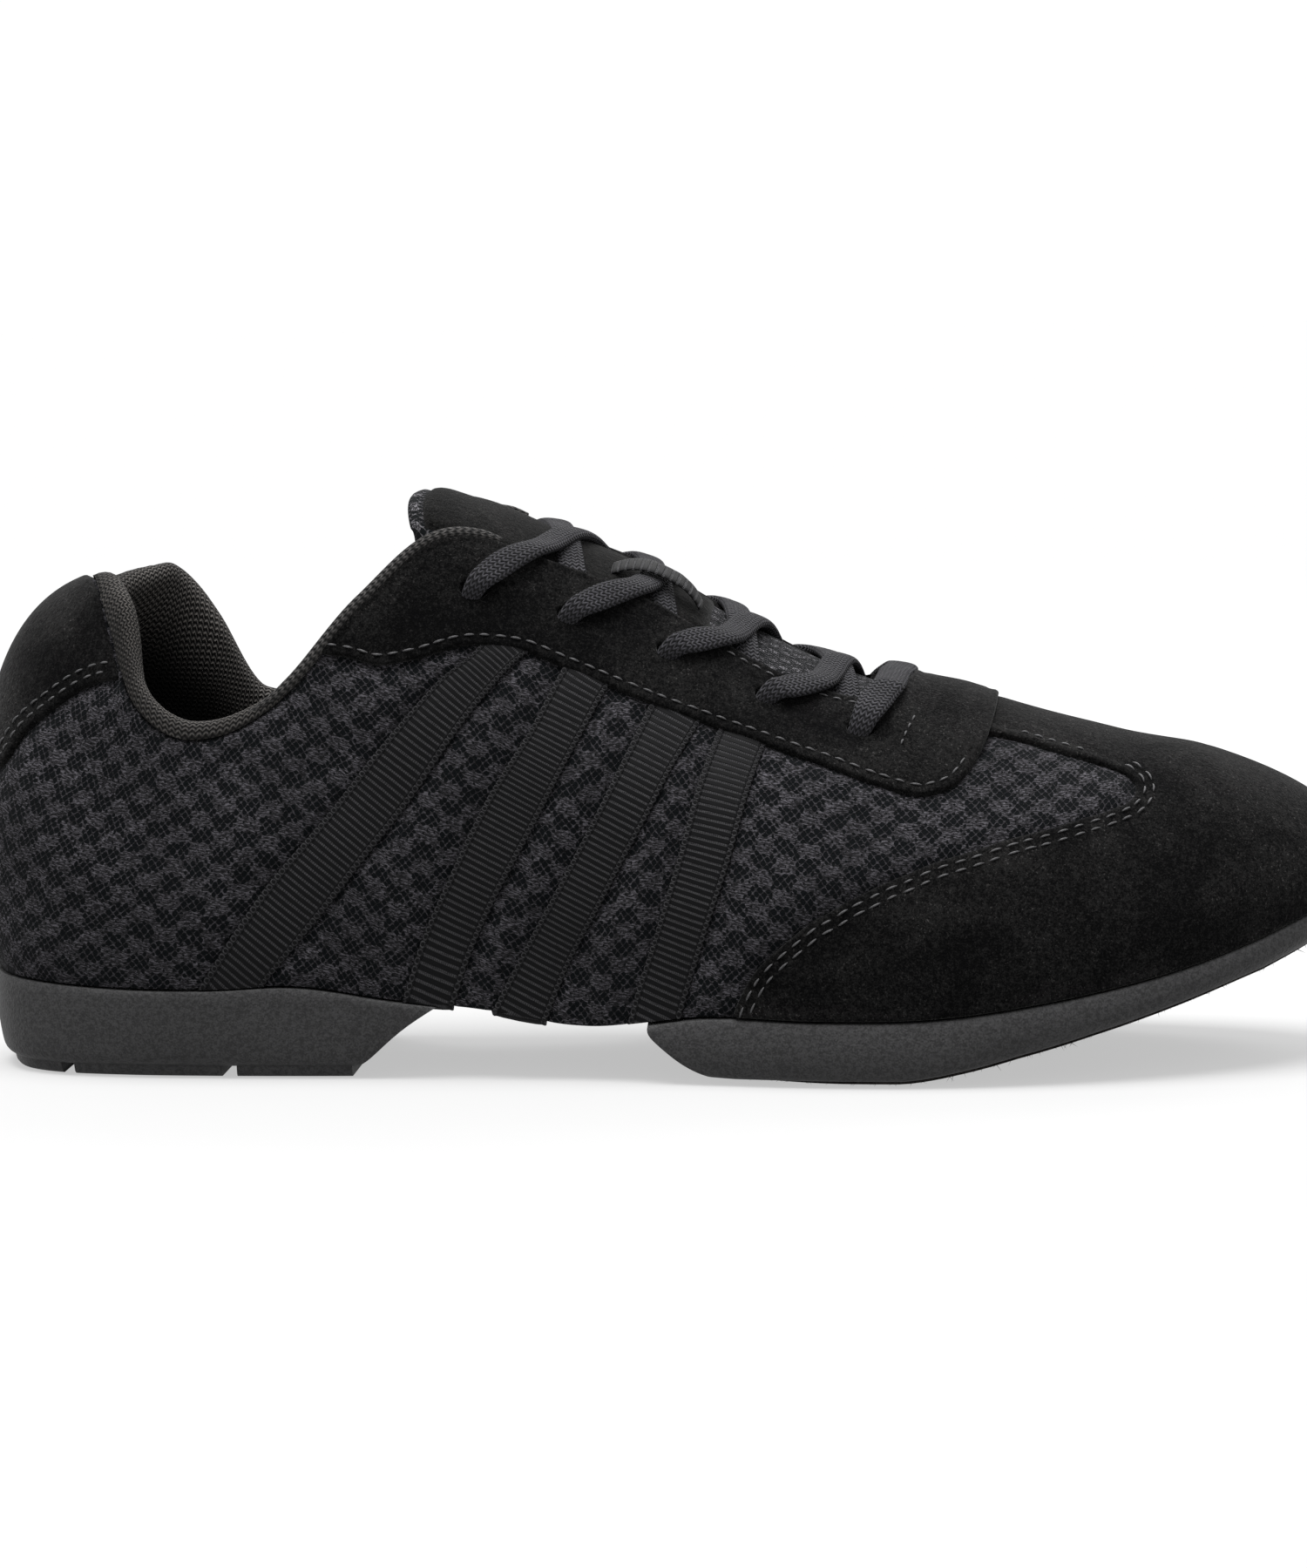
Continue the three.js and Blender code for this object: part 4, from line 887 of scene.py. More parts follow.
def toe_suede():
    edge = np.array(spline(WING_EDGE, 150))
    poly = [tuple(p) for p in edge] + [(11.50, 3.0), (18, 3.0), (18, -1), (9.25, -1)]

    def extra(u, v, phi, S, side):
        h = -0.14 * np.exp(-((phi - 2.4) / 1.0) ** 2) * (phi < 4.2)
        # the cap bends behind the toes in shallow furrows
        for a, b, w_, hh in (((13.2, .95), (13.1, .35), 7, .5), ((14.3, .8), (14.1, .3), 7, -.35), ((11.6, .30), (12.4, .12), 6, .35), ((10.6, .14), (11.4, .2), 5, .3)):
            t = np.linspace(0, 1, 10)
            d = seg_dist(S, skin(a[0] + (b[0] - a[0]) * t, a[1] + (b[1] - a[1]) * t, side))
            h = h - hh * np.exp(-(d / w_) ** 2)
        return h
    reg = []
    for side in (L, M):
        line = skin(edge[:, 0], edge[:, 1].clip(0, 1), side)
        back = skin(np.full(20, 11.50), np.linspace(.842, 1.2, 20).clip(0, float(v_top(np.array([11.5]), side)[0])), side)
        us = np.r_[even_us(9.22, 17.0, side, 0.78)]
        us[-1] = 17.0
        low = foot(np.linspace(9.2, 17, 90), side)
        reg.append((side, us, 0.0, poly, [line, back, low], None))
    return overlay_piece("toe_suede", SUEDE, reg, "suede", ["toe_overlay"], extra=extra, step=0.78, holes=False)


def heel_tab():
    edge = np.array(spline(COUNTER_EDGE, 70))
    cb = [(u, v - 0.012) for u, v in spline([p for p in COLLAR_BAND if p[0] < 2.4] + [(2.42, .893)], 60)][::-1]
    poly = [tuple(p) for p in edge] + [(2.40, .868)] + cb + [(-.3, .97)]
    ub = np.array([p for p in poly if p[0] >= 0])
    reg = []
    for side in (L, M):
        e = edge[edge[:, 0] >= 0]
        line = skin(e[:, 0], e[:, 1], side)
        c = np.array([p for p in cb if p[0] >= 0])
        line2 = skin(c[:, 0], c[:, 1], side)
        l3 = skin(np.array([e[-1, 0], 2.40, c[0, 0]]), np.array([e[-1, 1], .868, c[0, 1]]), side)
        us = even_us(0, 2.5, side, 0.6)
        reg.append((side, us, 0.36, poly, [line, line2, l3], None))
    return overlay_piece("heel_tab_suede", SUEDE, reg, "suede", ["heel_counter"], step=0.6, holes=False)


# ------------------------------------------------------------------ thread
def stitch_row(b, P, N, pitch=3.0, dash=2.0, r=0.21, lift=0.04, start=0.5):
    """short lengths of thread along a line of points with normals"""
    d = np.r_[0, np.cumsum(np.linalg.norm(np.diff(P, axis=0), axis=1))]
    n = int((d[-1] - start) / pitch)
    rings = 5
    rng = np.random.default_rng(len(P) + n)
    for i in range(n):
        s0 = start + (i + rng.uniform(-.05, .05)) * pitch
        t = np.linspace(0, 1, rings)
        s = s0 + t * dash * rng.uniform(.85, 1.08)
        C = np.stack([np.interp(s, d, P[:, k]) for k in range(3)], -1)
        Nn = unit(np.stack([np.interp(s, d, N[:, k]) for k in range(3)], -1))
        T = unit(np.gradient(C, axis=0))
        Bn = unit(np.cross(T, Nn))
        hump = np.sin(np.pi * t) * (r * 1.1) - r * 0.9 + lift
        rad = r * np.array([0.45, 0.95, 1.05, 0.95, 0.45])
        a = np.linspace(0, 2 * np.pi, 7)[:-1]
        ring = (C + Nn * hump[:, None])[:, None] + rad[:, None, None] * (np.cos(a)[None, :, None] * Bn[:, None] + np.sin(a)[None, :, None] * Nn[:, None])
        nr = len(a)
        F = []
        for p in range(rings - 1):
            for q in range(nr):
                F.append((p * nr + q, p * nr + (q + 1) % nr, (p + 1) * nr + (q + 1) % nr, (p + 1) * nr + q))
        F.append(tuple(range(nr))[::-1])
        F.append(tuple((rings - 1) * nr + q for q in range(nr)))
        b.add(ring.reshape(-1, 3), F)


def inset_line(pts, side, inset, height, n=400, flip=1):
    c = spline(pts, n)
    P, N = skin(c[:, 0], c[:, 1], side), normal(c[:, 0], c[:, 1], side)
    T = unit(np.gradient(P, axis=0))
    I = unit(np.cross(N, T)) * (-side) * flip
    return P + I * inset + N * height, N


def stitches():
    b = Build()
    top = GAP + OVERLAY
    for side in (L, M):
        P, N = inset_line([p for p in EYESTAY_EDGE if p[1] < 1.0], side, 2.0, top, flip=1)
        stitch_row(b, P, N, 3.0, 2.1)
        # front edge row, up to the ridge
        P, N = inset_line([(11.50, .77), (11.58, .86), (11.62, .95), (11.62, 1.06)], side, 1.9, top)
        stitch_row(b, P, N, 2.8, 1.9)
        # along the throat edge
        us = np.linspace(9.35, 10.6, 20)
        tp = [(u, float(v_top(np.array([u]), side)[0]) - 0.002) for u in us]
        P, N = inset_line(tp, side, 2.0, top, flip=-1)
        stitch_row(b, P, N, 2.8, 1.8, r=0.17)
        for ins, st in ((1.5, 0.4), (3.2, 2.0)):
            P, N = inset_line(WING_EDGE[1:29], side, ins, top, flip=-1)
            stitch_row(b, P, N, 3.5, 2.25, r=0.21, start=st)
        P, N = inset_line(WING_EDGE[29:-1], side, 1.9, top, flip=-1)
        stitch_row(b, P, N, 2.8, 1.7, r=0.18)
        for ins, st in ((1.7, 0.4), (3.5, 1.4)):
            P, N = inset_line([p for p in COUNTER_EDGE if p[0] >= .0], side, ins, top, flip=1)
            stitch_row(b, P, N, 2.9, 2.0, start=st)
        # short line that holds the tongue's wings, ahead of the last hole
        P, N = inset_line([(10.95, .86), (10.87, .79), (10.80, .72)], side, 0.0, top)
        stitch_row(b, P, N, 2.4, 1.5, r=0.2)
    return b.done("stitches", [THREAD], slot="thread")


# ------------------------------------------------------------------ grosgrain ribbons
def under_line(pts, side, far):
    """carries a line of the side on under the arch"""
    u = np.full(8, pts[-1][0])
    B, n = foot(u, side), outward(u, side)
    s = np.linspace(0.2, far, 8)
    x, y = B[:, 0] - n[:, 0] * s - 0.25 * s, B[:, 1] - n[:, 1] * s
    return np.stack([x, y, floor_z(x, y)], -1)


def ribbons():
    b = Build()
    for side in (L, M):
        for k, (left, right) in enumerate(RIBBONS):
            n = 150
            a, c = spline(left, n), spline(right, n)
            s = np.array([0, .012, .04, .09, .2, .35, .5, .65, .8, .91, .96, .988, 1.0])
            U = a[:, None, 0] * (1 - s) + c[:, None, 0] * s
            V = a[:, None, 1] * (1 - s) + c[:, None, 1] * s
            edge = np.minimum(s, 1 - s)
            # slightly hollow between the two stitch lines, soft cut edge
            h = np.interp(edge, [0, .012, .04, .1, .2, .5], [-0.35, 0.62, .78, .66, .80, .90])
            S, N = skin(U, V, side), normal(U, V, side)
            rl = length(S[:, 6])
            t = np.linspace(0, rl, n)
            # gentle rise and fall along the tape, where it bridges between the padding
            wav = 0.12 * np.sin(t / 9.0 + k * 1.7) + 0.10 * np.sin(t / 4.1 + k)
            P = S + N * (h[None, :] + wav[:, None] * (h[None, :] > 0) + 0.12)[..., None]
            if k in (1, 2):
                tails = []
                for si, h_ in zip(s, h):
                    e = (left[-1][0] * (1 - si) + right[-1][0] * si, 0)
                    q = under_line([e], side, 9)
                    q[:, 2] -= h_ + 0.25
                    tails.append(q)
                tl = np.stack(tails, 1)
                P = np.concatenate([P, tl])
                t = np.r_[t, rl + np.linspace(.4, 9, 8)]
            wid = np.linalg.norm(P[:, -1] - P[:, 0], axis=-1)
            x = (s - .5)[None, :] * np.full((len(P), 1), 10.0)
            # picks lie square across the tape
            T = unit(np.gradient(P[:, 6], axis=0))
            y = t[:, None] + ((P - P[:, 6:7]) * T[:, None]).sum(-1)
            uv = np.stack([x, y], -1)
            b.grid(P, uv, flip=side < 0)
    return b.done("ribbons", [RIBBON], slot="ribbon")


# ------------------------------------------------------------------ collar and lining
def collar_lining():
    us_l, us_m = ribs_ring(260)
    outs = []
    for us, side in ((us_l, L), (us_m, M)):
        us = np.asarray(us)
        k = v_top(us, side)
        vb = np.where(us < 5.6, edge_v(COLLAR_BAND, us), k)
        band = (1 - smooth(5.0, 5.6, us))
        cols = []
        no = 9
        rl = rib_len(us, side)
        kk = k - 2.6 / rl * band
        for f in np.linspace(0, 1, no):
            v = vb + np.maximum(kk - vb, 0.0005) * f
            d = -0.55 + 1.25 * math.sin(min(f / 0.45, 1) * math.pi / 2)
            cols.append(offset(us, v, side, d * band + (-0.1) * (1 - band)))
        O = cols[-1]
        w = wall(us, np.ones_like(us))
        I = offset(us, kk, side, -(w + 0.1 + 0.5 * band))
        t = unit(skin(us, k, side) - skin(us, k - 0.02, side))
        C, R = (O + I) / 2, np.linalg.norm(O - I, axis=-1) / 2
        up = 1.05 * band + 0.25 * (1 - band)
        for th in np.linspace(0, math.pi, 11)[1:-1]:
            cols.append(C + (O - C) * math.cos(th) + t * (R * up * math.sin(th))[:, None])
        for f in np.linspace(0, 1, 34):
            v = kk * (1 - f) + 0.03 * f
            bulge = (0.5 * (1 - f) + 0.7 * math.sin(math.pi * min(f * 2.6, 1))) * band
            cols.append(offset(us, v, side, -(wall(us, v / k) + 0.1 + bulge)))
        P = np.stack(cols, 1)
        B = foot(us, side)
        P[:, -4:, 2] = np.maximum(P[:, -4:, 2], B[:, None, 2] + WALL + 0.4)
        outs.append((us, P))
    P = np.concatenate([outs[0][1], outs[1][1][::-1][1:-1]])
    t = np.concatenate([np.zeros((len(P), 1)), np.cumsum(np.linalg.norm(np.diff(P, axis=1), axis=2), axis=1)], 1)
    t = t - t[:, 12:13]
    mid = P[:, 12]
    s = np.r_[0, np.cumsum(np.linalg.norm(np.diff(mid, axis=0), axis=1))]
    UV = np.stack([np.broadcast_to(s[:, None], t.shape), t], -1)
    b = Build()
    nu, nv = P.shape[:2]
    f = grid_faces(nu, nv, True)
    # faces deep inside the collar take the darker knit: painted shade
    mi = ((f[:, 0] % nv) > 36).astype(int)
    b.add(P.reshape(-1, 3), f, UV.reshape(-1, 2))
    b.MI = mi.tolist()
    ob = b.done("collar_lining", [LINING, LINING_IN_SHADE], slot="lining", weld=2e-5)
    return ob


def tube(b, P, N, r, sides=10, uvr=1.0, flat=1.0):
    T = unit(np.gradient(P, axis=0))
    Bn = unit(np.cross(T, N))
    Nn = unit(np.cross(Bn, T))
    a = np.linspace(0, 2 * np.pi, sides + 1)
    r = np.broadcast_to(np.asarray(r, float), (len(P),))
    ring = P[:, None] + r[:, None, None] * (np.cos(a)[None, :, None] * Bn[:, None] + np.sin(a)[None, :, None] * Nn[:, None] * flat)
    s = np.r_[0, np.cumsum(np.linalg.norm(np.diff(P, axis=0), axis=1))]
    uv = np.stack([np.broadcast_to(a[None, :] * r.max() * uvr, ring.shape[:2]), np.broadcast_to(s[:, None], ring.shape[:2])], -1)
    b.grid(ring, uv)
    for end, rev in ((0, False), (-1, True)):
        c = ring[end, :-1]
        f = tuple(range(sides))
        b.add(c, [f[::-1] if rev else f], uv[end, :-1])


def piping():
    b = Build()
    for side in (L, M):
        us = np.linspace(4.6, 7.5, 220)
        d = np.interp(us, [4.6, 5.1, 5.5, 7.5], [-0.5, .3, .75, .75])
        P = offset(us, np.full_like(us, 1.0), side, d)
        t = unit(skin(us, np.ones_like(us), side) - skin(us, np.full_like(us, .98), side))
        N = normal(us, np.ones_like(us), side)
        P = P + t * 0.35
        r = np.interp(us, [4.6, 5.1, 7.35, 7.5], [.4, 1.15, 1.15, .7])
        tube(b, P, N, r, 10)
    return b.done("edge_piping", [PIPING], slot="lining")


# ------------------------------------------------------------------ insole
def insole():
    b = Build()
    us = 0.12 + (U_END - 0.24) * np.linspace(0, 1, 120)
    f = np.linspace(0, 1, 17)
    rows = []
    for u in us:
        uu = np.array([u])
        A, Bm = foot(uu, L)[0], foot(uu, M)[0]
        na, nb = outward(uu, L)[0], outward(uu, M)[0]
        a = np.array([A[0] - na[0] * 3.1, A[1] - na[1] * 3.1])
        c = np.array([Bm[0] - nb[0] * 3.1, Bm[1] - nb[1] * 3.1])
        q = a[None] * (1 - f)[:, None] + c[None] * f[:, None]
        z = floor_z(q[:, 0], q[:, 1]) + WALL + GAP + 0.35 + INSOLE
        dish = (2 * f - 1) ** 6 * 0.5 - 0.4
        rows.append(np.c_[q, z + dish])
    P = np.array(rows)
    low = P.copy()
    low[..., 2] -= INSOLE - 0.4
    b.grid(P, P[..., :2])
    b.grid(low, low[..., :2], flip=True)
    rim = np.concatenate([P[:, 0], P[::-1, -1]])
    rim2 = rim - np.array([0, 0, INSOLE - 0.4])
    b.grid(np.stack([rim2, rim], 1), wrap=True)
    # the insole takes the darker inner knit: painted shade inside the shoe
    return b.done("insole_sock", [LINING_IN_SHADE], slot="lining", replaces=["insole"])


# ------------------------------------------------------------------ tongue
TONGUE_EDGE = [(7.0, 0.89), (8.0, 0.83), (9.0, 0.78), (10.0, 0.76), (11.0, 0.80), (11.9, 0.86)]


def bez(r, t):
    t = np.asarray(t, float)[..., None]
    return (1 - t) ** 3 * r[0] + 3 * (1 - t) ** 2 * t * r[1] + 3 * (1 - t) * t * t * r[2] + t ** 3 * r[3]


def tongue_line(u, d, na=6, nb=26):
    v0 = float(table(TONGUE_EDGE, u))
    uu = np.full(na, u)
    left = offset(uu, np.linspace(v0, 1, na), L, -d)
    right = offset(uu, np.linspace(1, v0, na), M, -d)
    a, b = left[-1], right[0]
    w = float(np.linalg.norm(a - b))
    f = np.linspace(0, 1, nb + 2)[1:-1]
    if w > 1:
        ra, rb = rib(np.array([u]), L), rib(np.array([u]), M)
        ta, tb = unit(ra[3] - ra[2])[0], unit(rb[3] - rb[2])[0]
        ta, tb = unit(ta * [1, 1, .42]), unit(tb * [1, 1, .42])
        h = w * 0.36
        r = [a, a + ta * h, b + tb * h, b]
        m = bez(r, f)
    else:
        m = a + (b - a) * f[:, None]
    return np.concatenate([left, m, right])


T_DIR = np.array([-0.94, 0, 0.34])
DEEP = WALL + GAP + 0.4


def tongue():
    us = np.concatenate([np.full(14, 7.15), np.linspace(7.15, 11.9, 110)[1:]])
    shift = np.concatenate([np.linspace(9, 0, 14), np.zeros(109)])
    top = []
    for u, s in zip(us, shift):
        q = tongue_line(float(u), DEEP)
        q = q * [1, 1 - 0.014 * s, 1] + T_DIR * s
        top.append(q)
    top = np.array(top)
    nu, nv = top.shape[:2]
    T = np.gradient(top, axis=0)
    A = np.gradient(top, axis=1)
    N = unit(np.cross(A, T))
    N = np.where((N[..., 2] < 0)[..., None], -N, N)
    s = np.r_[0, np.cumsum(np.linalg.norm(np.diff(top[:, nv // 2], axis=0), axis=1))]
    across = np.linspace(-1, 1, nv)
    # padded: fuller in the middle, flat at the bound edge, quilted where the patch is sewn on
    puff = 0.55 * (1 - across[None, :] ** 4) * smooth(0, 5, s)[:, None]
    puff = puff + 0.18 * np.sin(s / 5.5)[:, None] * (1 - across[None, :] ** 2)
    puff = puff * (1 - 0.0 * s[:, None])
    up = top + N * puff[..., None]
    low = top - N * TONGUE * 0.98
    # round the free end
    th = np.linspace(0, 1, 7)[1:-1]
    end = [up[0] * (1 - t) + low[0] * t + T_DIR * 1.3 * math.sin(math.pi * t) for t in th]
    P = np.concatenate([low[::-1], np.array(end)[::-1], up])
    sl = np.r_[-(s[::-1]) - 3, -3 * th[::-1], s]
    w = np.linalg.norm(np.diff(top, axis=1), axis=2).sum(1)
    ww = np.r_[w[::-1], np.full(5, w[0]), w]
    UV = np.stack([across[None, :] * ww[:, None] / 2, np.broadcast_to(sl[:, None], (len(sl), nv))], -1)
    b = Build()
    f = grid_faces(len(P), nv)
    b.add(P.reshape(-1, 3), f, UV.reshape(-1, 2))
    for e in (0, -1):
        lo_, hi_ = low[:, e], up[:, e]
        b.grid(np.stack([lo_, hi_], 1), flip=(e == 0))
    mi = np.zeros(len(b.F), int)
    ob = b.done("tongue_pad", [TONGUE_MESH], slot="tongue_mesh", replaces=["tongue"], weld=2e-5)
    # suede patch over the top of the tongue, bare
    k = int((up[:, up.shape[1] // 2, 0] < 143.0).sum())
    pu = up[2:k]
    fr = slice(5, nv - 5)
    Q = pu[:, fr]
    NQ = N[2:k][:, fr]
    nu2, nv2 = Q.shape[:2]
    i, j = np.arange(nu2), np.arange(nv2)
    di = np.minimum(i, nu2 - 1 - i)[:, None]
    dj = np.minimum(j, nv2 - 1 - j)[None, :]
    d = np.minimum(di, dj)
    h = np.interp(d, [0, 1, 2, 3], [-.15, .7, .9, .95])
    Qp = Q + NQ * h[..., None]
    b2 = Build()
    b2.grid(Qp, Qp[..., :2])
    ob2 = b2.done("tongue_patch", [PATCH], slot="suede")
    return ob, ob2, up, N, s


# ------------------------------------------------------------------ laces
def band(b, path, wide, w=LACE_W, t=LACE_T, n=None, w_of=None):
    """flat knitted band with full round edges along a path; wide gives its width's direction at each point"""
    path = np.asarray(path, float)
    m = n or max(int(length(path) / 0.7), 8)
    k = np.linspace(0, len(path) - 1, len(path) * 12)
    c = np.stack([through(path[:, i], k) for i in range(3)], -1)
    wide = np.asarray(wide, float)
    if wide.ndim == 1:
        wide = np.broadcast_to(wide, path.shape)
    wd = np.stack([through(wide[:, i], k) for i in range(3)], -1)
    fw = np.interp(k, np.arange(len(path)), np.ones(len(path)) if w_of is None else w_of)
    d = np.r_[0, np.cumsum(np.linalg.norm(np.diff(c, axis=0), axis=1))]
    s = np.linspace(0, d[-1], m)
    C = np.stack([np.interp(s, d, c[:, i]) for i in range(3)], -1)
    W = np.stack([np.interp(s, d, wd[:, i]) for i in range(3)], -1)
    fw = np.interp(s, d, fw)
    T = unit(np.gradient(C, axis=0))
    W = unit(W - (W * T).sum(-1, keepdims=True) * T)
    N = unit(np.cross(T, W))
    a = np.linspace(0, 2 * np.pi, 29)
    ca, sa = np.cos(a), np.sin(a)
    # super-ellipse: flat with round edges and a slight hollow along the middle
    px = np.sign(ca) * np.abs(ca) ** 0.78
    py = np.sign(sa) * np.abs(sa) ** 0.92 * (0.92 + 0.08 * np.abs(px) ** 2)
    tt = t * (1 + 0.35 * (1 - fw))
    ring = C[:, None] + W[:, None] * (px[None, :, None] * w / 2 * fw[:, None, None]) + N[:, None] * (py[None, :, None] * (tt / 2)[:, None, None])
    per = np.r_[0, np.cumsum(np.hypot(np.diff(px * w / 2), np.diff(py * t / 2)))]
    uv = np.stack([np.broadcast_to(per[None], ring.shape[:2]), np.broadcast_to(s[:, None], ring.shape[:2])], -1)
    b.grid(ring, uv)
    for e, rev in ((0, False), (-1, True)):
        f = tuple(range(28))
        b.add(ring[e, :-1], [f[::-1] if rev else f], uv[e, :-1])


LACE_H = 2.45
LIFT = GAP + OVERLAY + LACE_H / 2 + 0.12
EDGE_AT = [.60, .60, .50, .55]     # how far forward each lace is where it leaves the eyestay
FAR_AT = {L: [8.22, 8.92, 9.70, 10.42], M: [8.12, 8.84, 9.55, 10.40]}   # where it goes in under the other eyestay


def lie(i, side):
    u, v = EYELETS[i]
    return unit(skin(np.array([u + .15]), np.array([v]), side)[0] - skin(np.array([u - .15]), np.array([v]), side)[0])


def pt(u, v, side, d):
    return offset(np.array([u]), np.array([v]), side, d)[0]


def on_tongue(p, grid, clear):
    """lifts a point clear of the tongue below it"""
    d = ((grid[:, :2] - p[:2]) ** 2).sum(1)
    k = np.argsort(d)[:5]
    w = 1 / (d[k] + 0.3)
    z = float((grid[k, 2] * w).sum() / w.sum())
    return np.array([p[0], p[1], max(p[2], z + clear)])


def across(a, b, grid, over, n=9):
    """taut from a to b over the tongue"""
    f = np.linspace(0, 1, n + 2)[1:-1]
    P = np.array([on_tongue(a + (b - a) * t, grid, LACE_H / 2 + 0.15) for t in f])
    Z = np.r_[a[2], P[:, 2], b[2]]
    for _ in range(3):
        Z[1:-1] = np.maximum(Z[1:-1], (Z[:-2] + Z[2:]) / 2 * .9 + Z[1:-1] * .1)
    P[:, 2] = Z[1:-1] + over * np.exp(-((f - .5) / .24) ** 2)
    return P


def relax(pts, keep=2, n=2):
    p = np.array(pts)
    for _ in range(n):
        q = p.copy()
        q[keep + 1:-2] = p[keep + 1:-2] * .5 + (p[keep:-3] + p[keep + 2:-1]) * .25
        p = q
    return p


def lace_run(i, j, side, over, grid):
    u0, v0 = EYELETS[i]
    u1, v1 = EYELETS[j]
    # up out of the punched hole, then forward over the eyestay
    pts = [pt(u0 - .02, v0 - .010, side, -1.5), pt(u0 - .03, v0 - .012, side, 1.0)]
    ua = u0 + (u1 - u0) * EDGE_AT[i]
    va = float(v_top(np.array([ua]), side)[0])
    for f, up_ in ((.10, .15), (.30, .45), (.55, .15), (.80, 0), (.985, 0)):
        pts.append(pt(u0 + (ua - u0) * f, v0 + (va - v0) * f, side, LIFT + up_))
    a = pts[-1]
    ue = FAR_AT[side][i]
    ve = float(v_top(np.array([ue]), -side)[0])
    b = pt(ue, ve, -side, -1.2) + np.array([0, side * 1.2, 0])
    pts += list(across(a, b, grid, over))
    pts += [b, pt(ue + .03, ve - .035, -side, -3.0)]
    return relax(pts)


def laces(up):
    grid = up.reshape(-1, 3)
    obs = []
    for i in range(4):
        b = Build()
        for side, over in ((M, 0.0), (L, 1.5)):
            p = lace_run(i, i + 1, side, over, grid)
            w_of = np.ones(len(p))
            w_of[:5] = [.62, .66, .80, .96, 1.02]
            wide = np.tile(lie(i, side), (len(p), 1))
            f = np.linspace(0, 1, len(p))[:, None]
            wide = unit(lie(i, side) * (1 - f) + lie(i + 1, -side) * f)
            band(b, p, wide, w=5.7, t=LACE_H, w_of=w_of)
        obs.append(b.done(f"lace_pair_{i + 1}", [LACE], slot="lace", replaces=[f"lace_cross_{i + 1}"]))
    u, v0 = EYELETS[4]
    b = Build()
    ends = []
    for side, ua in ((L, 10.72), (M, 10.78)):
        va = float(v_top(np.array([ua]), side)[0])
        q = [pt(u - .02, v0 - .010, side, -1.5), pt(u - .02, v0 - .012, side, 1.0)]
        q += [pt(u + (ua - u) * f, v0 + (va - v0) * f, side, LIFT + h_) for f, h_ in ((.10, .15), (.30, .45), (.55, .2), (.80, .1), (.985, 0))]
        ends.append(q)
    m = across(ends[0][-1], ends[1][-1], grid, 0.6, 5)
    p = np.array(ends[0] + list(m) + ends[1][::-1])
    w_of = np.ones(len(p))
    w_of[:5] = [.62, .66, .80, .96, 1.02]
    w_of[-5:] = [1.02, .96, .80, .66, .62]
    band(b, p, unit((lie(4, L) + lie(4, M)) / 2), w=6.4, t=LACE_H, w_of=w_of)
    obs.append(b.done("lace_bar_front", [LACE], slot="lace", replaces=["lace_bar_5"]))
    return obs


def lace_keeper(up, N):
    """ribbed tape loop sewn to the tongue, over the second crossing"""
    mid = up.shape[1] // 2 - 6
    line, nn = up[:, mid], N[:, mid]
    k = [i for i in range(len(line)) if 122.5 < line[i, 0] < 141.0]
    s = np.linspace(-1, 1, len(k))
    h = 0.9 + 3.9 * (1 - np.abs(s) ** 2.6)
    p = line[k] + nn[k] * h[:, None]
    wide = unit(np.gradient(up, axis=1)[k, mid])
    b = Build()
    band(b, p[::2], wide[::2], w=5.4, t=0.9)
    return b.done("lace_keeper", [KEEPER], slot="ribbon")


# ------------------------------------------------------------------ soles
def profile(levels, n):
    """smooth side profile: height share and how far it stands out"""
    lv = np.array(levels, float)
    k = np.linspace(0, len(lv) - 1, n)
    return np.stack([through(lv[:, 0], k), through(lv[:, 1], k)], -1)


def sole_points(u, side, f, out, z_bottom):
    B, n = foot(u, side), outward(u, side)
    x, y = B[..., 0] + n[..., 0] * out, B[..., 1] + n[..., 1] * out
    zt = floor_z(x, y) - GAP - 0.1 - 0.2 * smooth(120, 126, x) * (1 - smooth(136, 144, x))
    zb = z_bottom(x)
    return np.stack([x, y, zb + (zt - zb) * f], -1)


HEEL_LEVELS = [[1, 0.55], [0.985, 1.0], [0.86, 1.3], [0.45, 0.75], [0.16, 0.0], [0.05, -0.7], [0, -1.9]]
FORE_LEVELS = [[1, 0.6], [0.97, 1.15], [0.80, 1.65], [0.50, 1.75], [0.26, 1.25], [0.12, 0.45], [0.035, -0.6], [0, -2.2], [0, -5.0]]


def solid_from_sides(b, A, C, across=9, mi=0):
    """A and C are matching side grids (stations, levels, 3); closes top, bottom and both ends"""
    b.grid(A, A[..., [0, 2]], flip=False, mi=mi)
    b.grid(C, C[..., [0, 2]], flip=True, mi=mi)
    f = np.linspace(0, 1, across)
    for lev, fl in ((0, False), (-1, True)):
        a, c = A[:, lev], C[:, lev]
        g = a[:, None] * (1 - f)[None, :, None] + c[:, None] * f[None, :, None]
        b.grid(g, g[..., :2], flip=not fl, mi=mi)
    for e, fl in ((0, True), (-1, False)):
        a, c = A[e], C[e]
        g = a[:, None] * (1 - f)[None, :, None] + c[:, None] * f[None, :, None]
        b.grid(g, g[..., [1, 2]], flip=fl, mi=mi)


